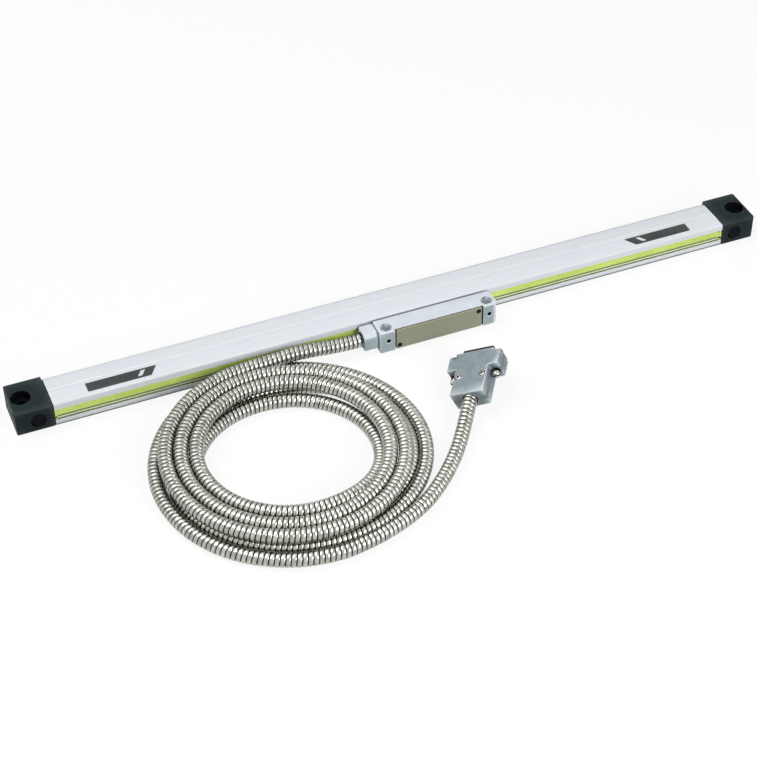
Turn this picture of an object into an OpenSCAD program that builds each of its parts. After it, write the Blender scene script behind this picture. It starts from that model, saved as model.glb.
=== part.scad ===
// Linear glass scale: a sealed slim linear encoder with a sliding reading head,
// an armoured signal cable and a fifteen-pin plug. Millimetres, +Z up.
// The origin is the centre of the housing's underside. X runs along the scale, and the
// sealed slot and the reading head are on its -Y side.

/* [Housing] */
// Length over the two end caps
scale_l = 585; // [485:20:785]
// Depth of the extrusion, front to back
body_w = 33.2; // [32.4:0.2:35]
// Height of the extrusion
body_h = 19; // [18.6:0.2:20.4]
// Thickness of the roof, floor and back
wall = 2.2; // [1.8:0.1:2.4]
// Thickness of the two front walls beside the slot
front_wall = 2.6; // [2.4:0.1:3]
// Height of the slot's lower edge
slot_low = 4.8; // [4.4:0.1:5.2]
// Height of the slot's upper edge
slot_high = 14; // [13.4:0.1:14.6]
// Place of the ridge on the roof, behind the centre line
ridge_y = 0.5; // [0:0.5:2]
// Fall of the roof from the ridge to the back slope
ridge_fall = 0.4; // [0.2:0.1:0.6]
// Width of the slope along the back top edge
back_slope_w = 4.5; // [3:0.5:5]
// Drop of the slope along the back top edge
back_drop = 3; // [2:0.5:3.5]
// Small bevel on the front edges
edge = 0.4; // [0.2:0.1:0.6]
// Depth of the bevel on the lower edges
foot_in = 0.6; // [0.4:0.1:1]
// Height of the bevel on the lower edges
foot_up = 1.6; // [1:0.1:2]
// Outer radius of the channels that take the cap screws
boss_r = 2.3; // [2.1:0.1:2.5]
// Height of the two ribs that hold the glass
rib_h = 3.2; // [2.6:0.1:3.4]
// Thickness of those ribs
rib_t = 1.4; // [1:0.1:1.6]

/* [End caps] */
// Length of an end cap
cap_l = 27.2; // [26:0.2:30]
// Thickness of the gasket behind a cap
gasket_t = 0.8; // [0.6:0.1:1.2]
// Setback of the gasket behind the housing's outline
gasket_in = 0.2; // [0.1:0.1:0.4]
// Bevel on the cap's edges
cap_edge = 0.6; // [0.3:0.1:1]
// Diameter of the counterbore in the top
cap_cbore_d = 14.5; // [13:0.5:15]
// Depth of that counterbore
cap_cbore_h = 6; // [4:0.5:6]
// Diameter of the upright mounting hole
cap_hole_d = 7; // [6.6:0.2:7.4]
// Distance of the upright hole from the outer end
cap_hole_in = 8.7; // [8.4:0.1:9]
// Diameter of the counterbore in the front
side_cbore_d = 11.6; // [10:0.2:12]
// Depth of that counterbore
side_cbore_h = 4; // [3:0.5:4]
// Diameter of the cross hole
side_hole_d = 5.4; // [5:0.2:5.6]
// Distance of the cross hole from the outer end
side_hole_in = 16.5; // [16.4:0.1:17]
// Height of the cross hole
side_hole_z = 9; // [8.9:0.1:9.2]
// Length of the spigot that enters the housing
spigot_l = 5; // [3:0.5:7]
// Clearance of the spigot above the floor
spigot_fit = 0.2; // [0.1:0.05:0.3]
// Thread diameter of the cap screws
cap_screw_d = 3; // [2.5:0.1:3]
// Head diameter of the cap screws
cap_screw_head_d = 5.3; // [5:0.1:5.4]
// Head height of the cap screws
cap_screw_head_h = 2.4; // [1.5:0.1:2.8]
// Length of the cap screws under the head
cap_screw_l = 34; // [32:1:40]
// Depth of the cap screws' head recess
cap_recess = 3; // [2.9:0.1:3.4]

/* [Glass] */
// Height of the glass above the housing's underside
glass_z = 8; // [7.9:0.1:8.2]
// Front face of the glass, behind the centre line
glass_y = 2.7; // [2.6:0.1:2.9]
// Thickness of the glass
glass_t = 2.5; // [2.3:0.1:2.6]
// Gap between the glass and the housing's roof
glass_top_gap = 0.2; // [0.1:0.1:0.4]
// Gap between the glass and each gasket
glass_end_gap = 2; // [1:0.5:4]
// Thickness of the elastic strip behind the glass
bond_t = 0.6; // [0.4:0.1:0.8]
// Height of the graduated track
track_h = 3.6; // [2.6:0.2:4]
// Thickness of the graduated track
track_t = 0.1; // [0.05:0.05:0.2]
// Plain length left at each end of the track
track_end = 12; // [6:1:20]

/* [Seal lips] */
// Height of the slit between the lips
slit_z = 7.3; // [7.2:0.1:7.5]
// Open height of the slit
slit_h = 1.4; // [1.4:0.1:1.8]
// Depth of the groove that holds each lip
groove_h = 2; // [1.6:0.1:2.2]
// Thickness of a lip's root
lip_root_t = 1.2; // [1:0.1:1.3]
// Thickness of a lip's tip
lip_tip_t = 0.5; // [0.4:0.1:0.7]
// Setback of the lip's root behind the front face
lip_in = 0.7; // [0.6:0.1:0.9]
// Setback of the lip's tip behind the front face
lip_tip_in = 0.1; // [0.1:0.1:0.3]
// Length of the retainer at each end of the lips
retainer_l = 1.6; // [1:0.2:3]

/* [Labels] */
// Length of a label's long side
label_l = 52; // [30:1:60]
// Depth of a label
label_w = 9; // [6:0.5:10]
// Thickness of a label
label_t = 0.3; // [0.1:0.1:0.5]
// Distance from the cap to the label's square end
label_in = 27; // [15:1:45]
// Slant of the label's inner end
label_slant = 6; // [0:1:10]
// Distance of the label from the front face
label_front = 4.2; // [2:0.2:5]

/* [Reading head] */
// Rest place of the head's middle along the scale
head_x = 19.5; // [10:0.5:30]
// Length of the head block
head_l = 93; // [92:0.5:98]
// Depth of the head block
head_d = 16.4; // [16:0.1:18]
// Height of the head block
head_h = 17.9; // [17.5:0.1:18.4]
// Height of the head block's underside
head_z = 0.6; // [0.4:0.1:0.8]
// Gap between the head and the housing
head_gap = 1.5; // [0.8:0.1:1.8]
// Radius of the two upright corners at the free end
head_round = 4; // [2:0.5:5]
// Length of the lug at each end
lug_l = 11.5; // [11:0.1:12]
// Distance of each lug hole from the head's end
lug_hole_end = 6.5; // [6:0.1:6.5]
// Distance of the lug holes from the front
lug_hole_in = 6.9; // [6.5:0.1:7]
// Diameter of the lugs' counterbores
lug_cbore_d = 9; // [8.4:0.2:9.4]
// Depth of the lugs' counterbores
lug_cbore_h = 5.4; // [5:0.1:6]
// Diameter of the lugs' upright holes
lug_hole_d = 5.3; // [5:0.1:5.5]
// Diameter of the tapped holes in the lugs' fronts
tap_d = 3.3; // [2.5:0.1:3.4]
// Depth of those tapped holes
tap_h = 3.6; // [2.5:0.1:3.8]
// Height of those tapped holes above the head's underside
tap_z = 9.7; // [8:0.1:10]
// Wall round the pocket
pocket_wall = 2.5; // [2.2:0.1:2.7]
// Distance of the pocket from each lug
pocket_end = 7; // [6.6:0.1:7]

/* [Head cover] */
// Thickness of the cover
cover_t = 1.2; // [0.8:0.1:1.4]
// Setback of the cover behind the lugs' fronts
cover_in = 0.4; // [0.2:0.1:0.8]
// Gap between the cover and each lug
cover_gap = 1.1; // [0.4:0.1:1.4]
// Margin of the cover at the top and bottom
cover_edge = 0.3; // [0:0.1:0.6]
// Thickness of the cover's gasket
cover_gasket_t = 0.5; // [0.3:0.1:0.8]
// Distance of each cover screw from the cover's end
cover_screw_x = 2.6; // [2.4:0.1:3]
// Distance of each cover screw from the cover's edge
cover_screw_z = 3; // [2.8:0.1:3.3]
// Head diameter of the cover screws
cover_head_d = 3.8; // [3.2:0.1:3.8]
// Thread diameter of the cover screws
cover_screw_d = 1.6; // [1.4:0.1:2]
// Length of the cover screws in the block
cover_screw_l = 4; // [3:0.5:5]

/* [Board] */
// Distance of the board from each end of the pocket
board_end = 3; // [2.9:0.1:3.2]
// Height of the signal board
board_h = 10; // [8:0.5:11]
// Thickness of the signal board
board_t = 1.6; // [1:0.1:1.8]
// Distance of the board from the pocket's back
board_stand = 5.2; // [5:0.1:5.4]
// Radius of the board's pillars
pillar_r = 1.8; // [1.5:0.1:2]
// Distance of each pillar from the board's end
pillar_end = 3; // [3:0.1:3.4]

/* [Drive blade] */
// Length of the blade along the scale
blade_l = 40; // [36:1:40]
// Thickness of the blade in the slit
blade_t = 0.8; // [0.6:0.05:0.8]
// Length of each tapered end of the blade
blade_taper = 7; // [4:1:9]
// Reach of the blade behind the housing's front face
blade_in = 7.6; // [7.4:0.1:7.8]
// Thickness of the blade's foot inside the head
foot_t = 1.4; // [1:0.1:1.6]
// Height of the blade's foot
foot_h = 3.6; // [3.2:0.1:3.6]
// Clearance of the blade in the head's slot
blade_fit = 0.1; // [0.05:0.05:0.2]
// Thickness of the ribbon on the blade
ribbon_t = 0.2; // [0.1:0.05:0.2]
// Width of the ribbon
ribbon_w = 10; // [6:1:12]

/* [Scanning carriage] */
// Length of the carriage
carriage_l = 44; // [42:1:48]
// Height of the carriage
carriage_h = 10; // [9.8:0.1:10.2]
// Clearance under the carriage
carriage_low = 0.5; // [0.3:0.1:0.6]
// Thickness of the front arm
arm_front = 8.3; // [8.2:0.1:8.5]
// Thickness of the back arm
arm_back = 3.2; // [2.8:0.1:3.3]
// Gap between the glass and each arm
glass_gap = 0.7; // [0.5:0.1:0.8]
// Outer diameter of a roller bearing
roller_d = 5; // [4.6:0.1:5]
// Width of a roller bearing
roller_w = 2.3; // [1.8:0.1:2.4]
// Diameter of the roller pins
pin_d = 2; // [1.5:0.1:2.2]
// Radial clearance of a roller on its pin
pin_fit = 0.03; // [0.02:0.01:0.08]
// Gap between a roller and the glass
roller_gap = 0.1; // [0.05:0.05:0.15]
// Space round a roller in its pocket
roller_room = 0.6; // [0.4:0.1:0.7]
// Space at each side of a roller
roller_side = 0.3; // [0.2:0.05:0.4]
// Distance of the edge rollers from the carriage's middle
edge_roller_x = 9; // [8:0.5:10]
// Distance of the face rollers from the carriage's middle
face_roller_x = 17; // [15.5:0.5:18]
// Diameter of the lamp
lamp_d = 4; // [3:0.2:4.4]
// Thickness of the reticle
reticle_t = 1; // [0.8:0.1:1.2]
// Length of the reticle
reticle_l = 9; // [6:0.5:10]
// Thickness of the sensor's board
sensor_t = 1; // [0.8:0.1:1.1]
// Length of the sensor's board
sensor_l = 16; // [10:1:22]
// Wall thickness of the coupling springs
spring_t = 0.35; // [0.2:0.05:0.5]
// Height of the coupling springs
spring_h = 3; // [2:0.5:4]
// Distance of each coupling spring from the middle
spring_x = 12; // [8:0.5:12]

/* [Cable gland] */
// Length of the gland block
gland_l = 10.5; // [9:0.5:14]
// Height of the gland block's underside
gland_z = 3.2; // [2.6:0.1:3.4]
// Height of the gland block's top
gland_top = 17; // [16.8:0.1:18]
// Setback of the gland block behind the head's front
gland_in = 3; // [2.6:0.1:3.2]
// Radius of the gland block's top front edge
gland_round = 5; // [3:0.5:5]
// Thickness of the seal between gland and head
seal_t = 0.5; // [0.3:0.1:0.8]
// Outer diameter of the armoured conduit
conduit_d = 10.5; // [10.1:0.1:10.5]
// Outer diameter of the ferrule
ferrule_d = 11.6; // [11.4:0.1:11.8]
// Length of the ferrule in front of the gland
ferrule_out = 1.2; // [0.6:0.1:2]
// Depth of the conduit's seat in the gland
seat_h = 3; // [2:0.5:4]
// Diameter of the signal cable inside the gland
cable_d = 6; // [5:0.2:6.4]
// Diameter of the signal cable's inner lead
lead_d = 3.6; // [3:0.1:3.8]
// Thread diameter of the gland screws
gland_screw_d = 1.6; // [1.2:0.1:1.8]
// Head diameter of the gland screws
gland_head_d = 2.4; // [2:0.1:2.6]

/* [Plug] */
// Width of the hood's flange
flange_w = 39.7; // [39.4:0.1:41]
// Length of the hood's flange
flange_l = 13.6; // [12:0.2:15]
// Width of the hood's body
hood_w = 25.6; // [24:0.2:26]
// Length of the hood over body and flange
hood_l = 37.9; // [36:0.2:42]
// Width of the hood's front lip
hood_lip_w = 30; // [28:0.5:30]
// Reach of the lip in front of the flange
hood_lip_l = 2.4; // [2:0.2:3.6]
// Clearance of the lip round the shell and its plate
hood_lip_fit = 0.15; // [0.1:0.05:0.2]
// Thickness of the hood
hood_t = 14.7; // [14.6:0.1:16]
// Wall of the hood
hood_wall = 1.8; // [1.4:0.1:2]
// Bevel on the hood's edges
hood_edge = 0.5; // [0.3:0.1:0.8]
// Diameter of the cable entry
entry_d = 12; // [11.8:0.1:12.4]
// Length of the cable entry
entry_l = 6; // [5:0.5:7]
// Pitch of the jackscrews
jack_pitch = 33.3; // [33.3:0.05:33.5]
// Diameter of a jackscrew
jack_d = 2.9; // [2.6:0.1:3]
// Radial clearance of a jackscrew
jack_fit = 0.05; // [0.03:0.01:0.08]
// Head diameter of a jackscrew
jack_head_d = 5.4; // [4.8:0.1:5.6]
// Head length of a jackscrew
jack_head_l = 5.5; // [4:0.5:8]
// Length of a jackscrew in front of the shell's plate
jack_out = 4.5; // [3:0.5:6]
// Thickness of the shell's plate
plate_t = 0.9; // [0.8:0.1:1.2]
// Height of the shell's plate
plate_h = 12.5; // [12:0.1:12.6]
// Width of the plug's shell at its wide side
shell_w = 25; // [24.8:0.1:25.2]
// Height of the plug's shell
shell_h = 8.3; // [8.2:0.1:8.5]
// Length of the plug's shell
shell_l = 6.5; // [5:0.1:6.6]
// Wall of the plug's shell
shell_wall = 0.5; // [0.4:0.1:0.6]
// Pitch of the contacts along a row
contact_pitch = 2.77; // [2.7:0.01:2.8]
// Pitch of the two rows of contacts
row_pitch = 2.84; // [2.8:0.01:2.9]
// Diameter of a contact
contact_d = 1; // [0.8:0.1:1.1]
// Distance of the hood screws from the middle
hood_screw_x = 9.3; // [8:0.1:9.4]
// Distance of the hood screws from the back
hood_screw_y = 17; // [12:0.5:19]
// Head diameter of the hood screws
hood_head_d = 4.8; // [4:0.1:5]
// Head height of the hood screws
hood_head_h = 0.9; // [0.6:0.1:1.2]
// Thread diameter of the hood screws
hood_screw_d = 2.2; // [1.8:0.1:2.6]

/* [Hidden] */
$fn = 48;

// cutters run this far past the face they open
past = 1;

// housing
cap_x = scale_l / 2 - cap_l;
housing_l = 2 * (cap_x - gasket_t);
front_y = -body_w / 2;
back_y = body_w / 2;
roof_z = body_h - wall - ridge_fall;
rib_z = roof_z - rib_h;
bond_y = glass_y + glass_t;
// the cap screws run in channels under the roof and in the back bottom corner: [y, z]
cap_screw_at = [
    [front_y + front_wall + 3.7, roof_z - boss_r + 0.3],
    [back_y - wall - boss_r + 0.3, wall + boss_r - 0.3]
];
pilot_d = cap_screw_d - 0.5;
cap_clear_d = cap_screw_d + 0.2;

// seal lips
upper_tip_z = slit_z + slit_h / 2;
lower_tip_z = slit_z - slit_h / 2;
lip_y = front_y + lip_in;

// glass
glass_l = housing_l - 2 * glass_end_gap;
glass_top = roof_z - glass_top_gap;
track_z = glass_z + 1;

// reading head
head_back = front_y - head_gap;
head_front = head_back - head_d;
head_left = head_x - head_l / 2;
head_right = head_x + head_l / 2;
head_top = head_z + head_h;
seat_y = head_front + cover_in + cover_t + cover_gasket_t;
lug_pitch = head_l - 2 * lug_hole_end;
cover_zone = head_l - 2 * lug_l;
pocket_l = cover_zone - 2 * pocket_end;
board_l = pocket_l - 2 * board_end;
pillar_pitch = board_l - 2 * pillar_end;
cover_l = cover_zone - 2 * cover_gap;
lug_y = head_front + lug_hole_in;
pocket_back = head_back - pocket_wall;
pocket_low = head_z + pocket_wall;
pocket_high = head_top - pocket_wall;
board_y = pocket_back - board_stand;
board_z = (pocket_low + pocket_high) / 2 - board_h / 2;

// drive blade: it lies on the slit's middle, with the ribbon on its top face
stack_t = blade_t + ribbon_t;
blade_z = slit_z - stack_t / 2;
ribbon_z = blade_z + blade_t;
blade_end = front_y + blade_in;

// scanning carriage
carriage_z = wall + carriage_low;
carriage_top = carriage_z + carriage_h;
arm_y = glass_y - glass_gap;
carriage_front = arm_y - arm_front;
back_arm_y = bond_y + glass_gap;
carriage_back = back_arm_y + arm_back;
channel_z = glass_z - glass_gap;
roller_r = roller_d / 2;
edge_axis_z = glass_z - roller_gap - roller_r;
face_axis_y = glass_y - roller_gap - roller_r;
glass_mid = glass_y + glass_t / 2;
face_roller_z = 10.15;
optic_z = channel_z + 3;

// cable gland
gland_right = head_left - seal_t;
gland_left = gland_right - gland_l;
gland_front = head_front + gland_in;
conduit_r = conduit_d / 2;
conduit_y = (gland_front + head_back) / 2;
conduit_z = (gland_z + gland_top) / 2 - 0.1;
passage_y = pocket_back - lead_d / 2 - 0.2;
passage_d = lead_d + 0.4;
cable_bore_d = cable_d + 1;
// the gland screws sit in the front bottom and back top corners: [y, z]
gland_screw_at = [
    [gland_front + 1.5, gland_z + 1.5],
    [head_back - 1.5, gland_top - 1.5]
];
gland_screw_l = 3.4;

// the conduit's coil: centre, and the section of the wound ring as [radius, height]
coil_x = -126.5;
coil_y = -117.5;
coil_section = [
    [54.8, 2], [56.5, 0], [97, 0], [98.8, 2], [98.8, 8.5], [95, 15],
    [92, 20.7], [57, 20.7], [54.8, 18]
];
// the conduit's route from the gland to the coil, and from the coil to the plug
lead_route = [
    [gland_left + seat_h, conduit_y, conduit_z], [gland_left - 3, conduit_y, conduit_z],
    [gland_left - 9, conduit_y, conduit_z], [-62, -25, 11.2], [-76, -25.3, 13.2],
    [-90, -26, 15], [-104, -27.2, 15.4], [-118, -28.2, 15.4]
];
half_t = hood_t / 2;
plug_at = [9.8, -117.6];
plug_turn = [8.2, -25.6, -37.5];
// height that sets the hood's lower left edge on the ground
plug_z = max(
    hood_w / 2 * sin(-plug_turn[1]),
    flange_w / 2 * sin(-plug_turn[1]) - (hood_l - flange_l) * sin(plug_turn[0]) * cos(plug_turn[1])
) + 0.15;
tail_route = [
    [-106, -208.5, 5.3], [-92, -205, 5.3], [-74, -198.5, 5.3], [-56, -188.5, 5.3],
    [-38, -173.5, 5.3], [-22, -156.5, 5.9], [-9, -139.5, 8.2],
    plug_point([0, -9, half_t]), plug_point([0, -3, half_t]), plug_point([0, 2.9, half_t])
];

// plug
plate_y = hood_l;
jack_x = jack_pitch / 2;
pin_rows = [[8, 0.5], [7, -0.5]];

// ---------- helpers ----------

// a profile in the YZ plane, drawn as [y, z] and run along X from x0
module along_x(x0, length) {
    translate([x0, 0, 0]) rotate([90, 0, 90]) linear_extrude(length) children();
}

// a round bar along X, Y or Z that starts at a point
module bar_x(at, d, l) { translate(at) rotate([0, 90, 0]) cylinder(d = d, h = l); }
module bar_y(at, d, l) { translate(at) rotate([-90, 0, 0]) cylinder(d = d, h = l); }
module bar_z(at, d, l) { translate(at) cylinder(d = d, h = l); }

// a box between two corners
module box(low, high) { translate(low) cube(high - low); }

// a rectangle in the YZ plane with bevelled corners
module bevelled(y0, z0, y1, z1, b) {
    polygon([
        [y0 + b, z0], [y1 - b, z0], [y1, z0 + b], [y1, z1 - b],
        [y1 - b, z1], [y0 + b, z1], [y0, z1 - b], [y0, z0 + b]
    ]);
}

// a point on a Catmull-Rom curve through the route, t counted in points
function route_point(route, t) =
    let (last = len(route) - 1,
         i = min(floor(t), last - 1),
         f = t - i,
         a = route[max(i - 1, 0)], b = route[i],
         c = route[i + 1], d = route[min(i + 2, last)])
    0.5 * (2 * b + (c - a) * f + (2 * a - 5 * b + 4 * c - d) * f * f
        + (3 * b - a - 3 * c + d) * f * f * f);

// a tube swept along a route, as one polyhedron with flat ends
module swept_tube(route, r, sides, per_span) {
    steps = (len(route) - 1) * per_span;
    centres = [for (i = [0:steps]) route_point(route, i / per_span)];
    points = [
        for (i = [0:steps])
        let (ahead = centres[min(i + 1, steps)] - centres[max(i - 1, 0)],
             forward = ahead / norm(ahead),
             across = cross([0, 0, 1], forward),
             side = across / norm(across),
             up = cross(forward, side))
        for (k = [0:sides - 1])
        let (a = 360 * k / sides)
        centres[i] + r * (cos(a) * up + sin(a) * side)
    ];
    walls = [
        for (i = [0:steps - 1], k = [0:sides - 1])
        let (n = (k + 1) % sides, p = i * sides)
        [p + k, p + n, p + sides + n, p + sides + k]
    ];
    near = [for (k = [0:sides - 1]) sides - 1 - k];
    far = [for (k = [0:sides - 1]) steps * sides + k];
    polyhedron(points, concat([near], walls, [far]), convexity = 6);
}

// a point of the plug's own frame, in the part's frame
function plug_point(p) =
    let (rx = plug_turn[0], ry = plug_turn[1], rz = plug_turn[2],
         a = [p[0], p[1] * cos(rx) - p[2] * sin(rx), p[1] * sin(rx) + p[2] * cos(rx)],
         b = [a[0] * cos(ry) + a[2] * sin(ry), a[1], -a[0] * sin(ry) + a[2] * cos(ry)])
    [plug_at[0] + b[0] * cos(rz) - b[1] * sin(rz),
     plug_at[1] + b[0] * sin(rz) + b[1] * cos(rz),
     plug_z + b[2]];

// places the plug's own frame: X across, Y from the cable entry to the contacts, Z up
module plug_frame() {
    translate([plug_at[0], plug_at[1], plug_z]) rotate(plug_turn) children();
}

// ---------- housing ----------

// the housing's outline in [y, z], drawn in by an inset
module housing_outline(inset = 0) {
    polygon([
        [front_y + inset, foot_up], [front_y + foot_in, inset],
        [back_y - foot_in, inset], [back_y - inset, foot_up],
        [back_y - inset, body_h - back_drop - inset],
        [back_y - back_slope_w, body_h - ridge_fall - inset], [ridge_y, body_h - inset],
        [front_y + edge, body_h - inset], [front_y + inset, body_h - edge]
    ]);
}

module housing_section() {
    difference() {
        housing_outline();
        polygon([
            [front_y + front_wall, wall], [back_y - wall, wall],
            [back_y - wall, roof_z - back_drop], [back_y - wall - back_slope_w, roof_z],
            [front_y + front_wall, roof_z]
        ]);
        translate([front_y - past, slot_low])
            square([front_wall + 2 * past, slot_high - slot_low]);
        translate([lip_y, slot_high - past]) square([lip_root_t, groove_h + past]);
        translate([lip_y, slot_low - groove_h]) square([lip_root_t, groove_h + past]);
    }
    // ribs that hold the glass
    translate([glass_y - rib_t, rib_z]) square([rib_t, rib_h + past]);
    translate([bond_y + bond_t, rib_z]) square([rib_t, rib_h + past]);
}

module housing() {
    color("gainsboro")
    difference() {
        union() {
            along_x(-housing_l / 2, housing_l) housing_section();
            for (at = cap_screw_at)
                bar_x([-housing_l / 2, at[0], at[1]], 2 * boss_r, housing_l);
        }
        for (at = cap_screw_at)
            bar_x([-housing_l / 2 - past, at[0], at[1]], pilot_d, housing_l + 2 * past);
    }
}

// ---------- end caps ----------

// the left cap; the right one is its mirror image
module cap_shape() {
    end_x = -scale_l / 2;
    difference() {
        union() {
            along_x(end_x, cap_l) bevelled(front_y, 0, back_y, body_h, cap_edge);
            box([end_x + cap_l, carriage_front, wall + spigot_fit],
                [-housing_l / 2 + spigot_l, carriage_back, channel_z]);
        }
        // upright mounting hole
        bar_z([end_x + cap_hole_in, 0, -past], cap_hole_d, body_h + 2 * past);
        bar_z([end_x + cap_hole_in, 0, body_h - cap_cbore_h], cap_cbore_d, cap_cbore_h + past);
        // cross hole
        bar_y([end_x + side_hole_in, front_y - past, side_hole_z], side_hole_d,
            body_w + 2 * past);
        bar_y([end_x + side_hole_in, front_y - past, side_hole_z], side_cbore_d,
            side_cbore_h + past);
        for (at = cap_screw_at) {
            bar_x([end_x - past, at[0], at[1]], cap_clear_d, cap_l + 2 * past);
            bar_x([end_x - past, at[0], at[1]], cap_screw_head_d + 0.1, cap_recess + past);
        }
    }
}

module end_cap_left() { color([0.12, 0.16, 0.16]) cap_shape(); }
module end_cap_right() { color([0.12, 0.16, 0.16]) mirror([1, 0, 0]) cap_shape(); }

module gasket_shape() {
    difference() {
        along_x(-cap_x, gasket_t) housing_outline(gasket_in);
        box([-cap_x - past, carriage_front - 0.1, wall + spigot_fit - 0.1],
            [-cap_x + gasket_t + past, carriage_back + 0.1, channel_z + 0.1]);
        for (at = cap_screw_at)
            bar_x([-cap_x - past, at[0], at[1]], cap_clear_d, gasket_t + 2 * past);
    }
}

module gasket_left() { color([0.05, 0.05, 0.05]) gasket_shape(); }
module gasket_right() { color([0.05, 0.05, 0.05]) mirror([1, 0, 0]) gasket_shape(); }

module cap_screw(at) {
    head_x0 = -scale_l / 2 + cap_recess - cap_screw_head_h;
    difference() {
        union() {
            bar_x([head_x0, at[0], at[1]], cap_screw_head_d, cap_screw_head_h);
            bar_x([head_x0, at[0], at[1]], pilot_d - 0.1, cap_screw_head_h + cap_screw_l);
        }
        translate([head_x0 - past, at[0], at[1]]) rotate([0, 90, 0])
            cylinder(d = 2.6, h = 1.2 + past, $fn = 6);
    }
}

module cap_screws() {
    color([0.2, 0.2, 0.2])
    for (side = [0, 1], at = cap_screw_at)
        mirror([side, 0, 0]) cap_screw(at);
}

// ---------- glass ----------

module glass_scale() {
    color([0.75, 0.88, 0.85, 0.5])
    box([-glass_l / 2, glass_y, glass_z], [glass_l / 2, bond_y, glass_top]);
}

module grating_track() {
    color([0.55, 0.55, 0.5])
    box([-glass_l / 2 + track_end, bond_y, track_z],
        [glass_l / 2 - track_end, bond_y + track_t, track_z + track_h]);
}

module bond_strip() {
    color([0.2, 0.2, 0.22])
    box([-glass_l / 2, bond_y, rib_z + 0.2], [glass_l / 2, bond_y + bond_t, glass_top]);
}

// ---------- seal lips ----------

// the upper lip's section, from the groove down to its tip; dir is -1 for the lower lip
module lip_section(edge_z, tip_z, dir) {
    tip_y = front_y + lip_tip_in;
    polygon([
        [lip_y, edge_z + dir * groove_h], [lip_y, edge_z],
        [(lip_y + 2 * tip_y) / 3, (edge_z + 2 * tip_z) / 3], [tip_y, tip_z],
        [tip_y + lip_tip_t, tip_z], [lip_y + lip_root_t, edge_z],
        [lip_y + lip_root_t, edge_z + dir * groove_h]
    ]);
}

lip_l = housing_l - 2 * retainer_l;

module seal_lip_upper() {
    color([0.72, 0.82, 0.35])
    along_x(-lip_l / 2, lip_l) lip_section(slot_high, upper_tip_z, 1);
}

module seal_lip_lower() {
    color([0.72, 0.82, 0.35])
    along_x(-lip_l / 2, lip_l) lip_section(slot_low, lower_tip_z, -1);
}

module lip_retainers() {
    color([0.08, 0.1, 0.1])
    for (side = [0, 1]) mirror([side, 0, 0])
        along_x(-housing_l / 2, retainer_l) {
            lip_section(slot_high, upper_tip_z, 1);
            lip_section(slot_low, lower_tip_z, -1);
        }
}

// ---------- labels ----------

module label_shape() {
    x0 = -cap_x + label_in;
    y0 = front_y + label_front;
    translate([0, 0, body_h]) linear_extrude(label_t)
        polygon([
            [x0, y0], [x0 + label_l - label_slant, y0],
            [x0 + label_l, y0 + label_w], [x0, y0 + label_w]
        ]);
}

module label_left() { color([0.25, 0.28, 0.28]) label_shape(); }
module label_right() { color([0.25, 0.28, 0.28]) mirror([1, 0, 0]) label_shape(); }

// ---------- reading head ----------

module head_body() {
    // square at the cable end, rounded at the free end
    box([head_left, head_front, head_z], [head_right - head_round, head_back, head_top]);
    box([head_right - head_round - past, head_front + head_round, head_z],
        [head_right, head_back - head_round, head_top]);
    for (y = [head_front + head_round, head_back - head_round])
        bar_z([head_right - head_round, y, head_z], 2 * head_round, head_h);
}

module head_block() {
    color([0.85, 0.86, 0.89])
    difference() {
        union() {
            difference() {
                head_body();
                // seat of the cover between the lugs
                box([head_x - cover_zone / 2, head_front - past, head_z - past],
                    [head_x + cover_zone / 2, seat_y, head_top + past]);
                // pocket for the board
                box([head_x - pocket_l / 2, seat_y - past, pocket_low],
                    [head_x + pocket_l / 2, pocket_back, pocket_high]);
            }
            for (side = [-1, 1])
                bar_y([head_x + side * pillar_pitch / 2, board_y, board_z + board_h / 2],
                    2 * pillar_r, board_stand + pocket_wall / 2);
        }
        // slot for the blade
        box([head_x - blade_l / 2 - blade_fit, pocket_back - past, blade_z - blade_fit],
            [head_x + blade_l / 2 + blade_fit, head_back + past,
             blade_z + stack_t + blade_fit]);
        for (side = [-1, 1]) {
            lug_x = head_x + side * lug_pitch / 2;
            bar_z([lug_x, lug_y, head_z - past], lug_hole_d, head_h + 2 * past);
            bar_z([lug_x, lug_y, head_top - lug_cbore_h], lug_cbore_d, lug_cbore_h + past);
            bar_y([lug_x, head_front - past, head_z + tap_z], tap_d, tap_h + past);
            // cover screws, low at the left and high at the right
            bar_y(cover_screw_at(side, seat_y - past), cover_screw_d, cover_screw_l + past);
            // board screws and blade screws
            bar_y([head_x + side * pillar_pitch / 2, board_y - past, board_z + board_h / 2],
                board_screw_d, board_screw_l + past);
            bar_y(blade_screw_at(side, pocket_back - past), blade_screw_d,
                blade_screw_l + past);
        }
        // passage for the signal cable's inner lead
        bar_x([head_left - past, passage_y, conduit_z], passage_d,
            head_x - pocket_l / 2 - head_left + 2 * past);
        for (at = gland_screw_at)
            bar_x([head_left - past, at[0], at[1]], gland_screw_d, gland_screw_l + past);
    }
}

// a cover screw's place: side is -1 for the left one and 1 for the right one
function cover_screw_at(side, y) = [
    head_x + side * (cover_l / 2 - cover_screw_x), y,
    side < 0 ? head_z + cover_edge + cover_screw_z : head_top - cover_edge - cover_screw_z
];
function blade_screw_at(side, y) = [
    head_x + side * (blade_l / 2 - 8), y, blade_z - foot_h / 2 + 0.2
];
board_screw_d = 1.4;
board_screw_l = 3;
blade_screw_d = 1.6;
blade_screw_l = 2;
cover_head_h = 1;

module cover_plate(t) {
    box([-cover_l / 2, -t, head_z + cover_edge], [cover_l / 2, 0, head_top - cover_edge]);
}

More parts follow.
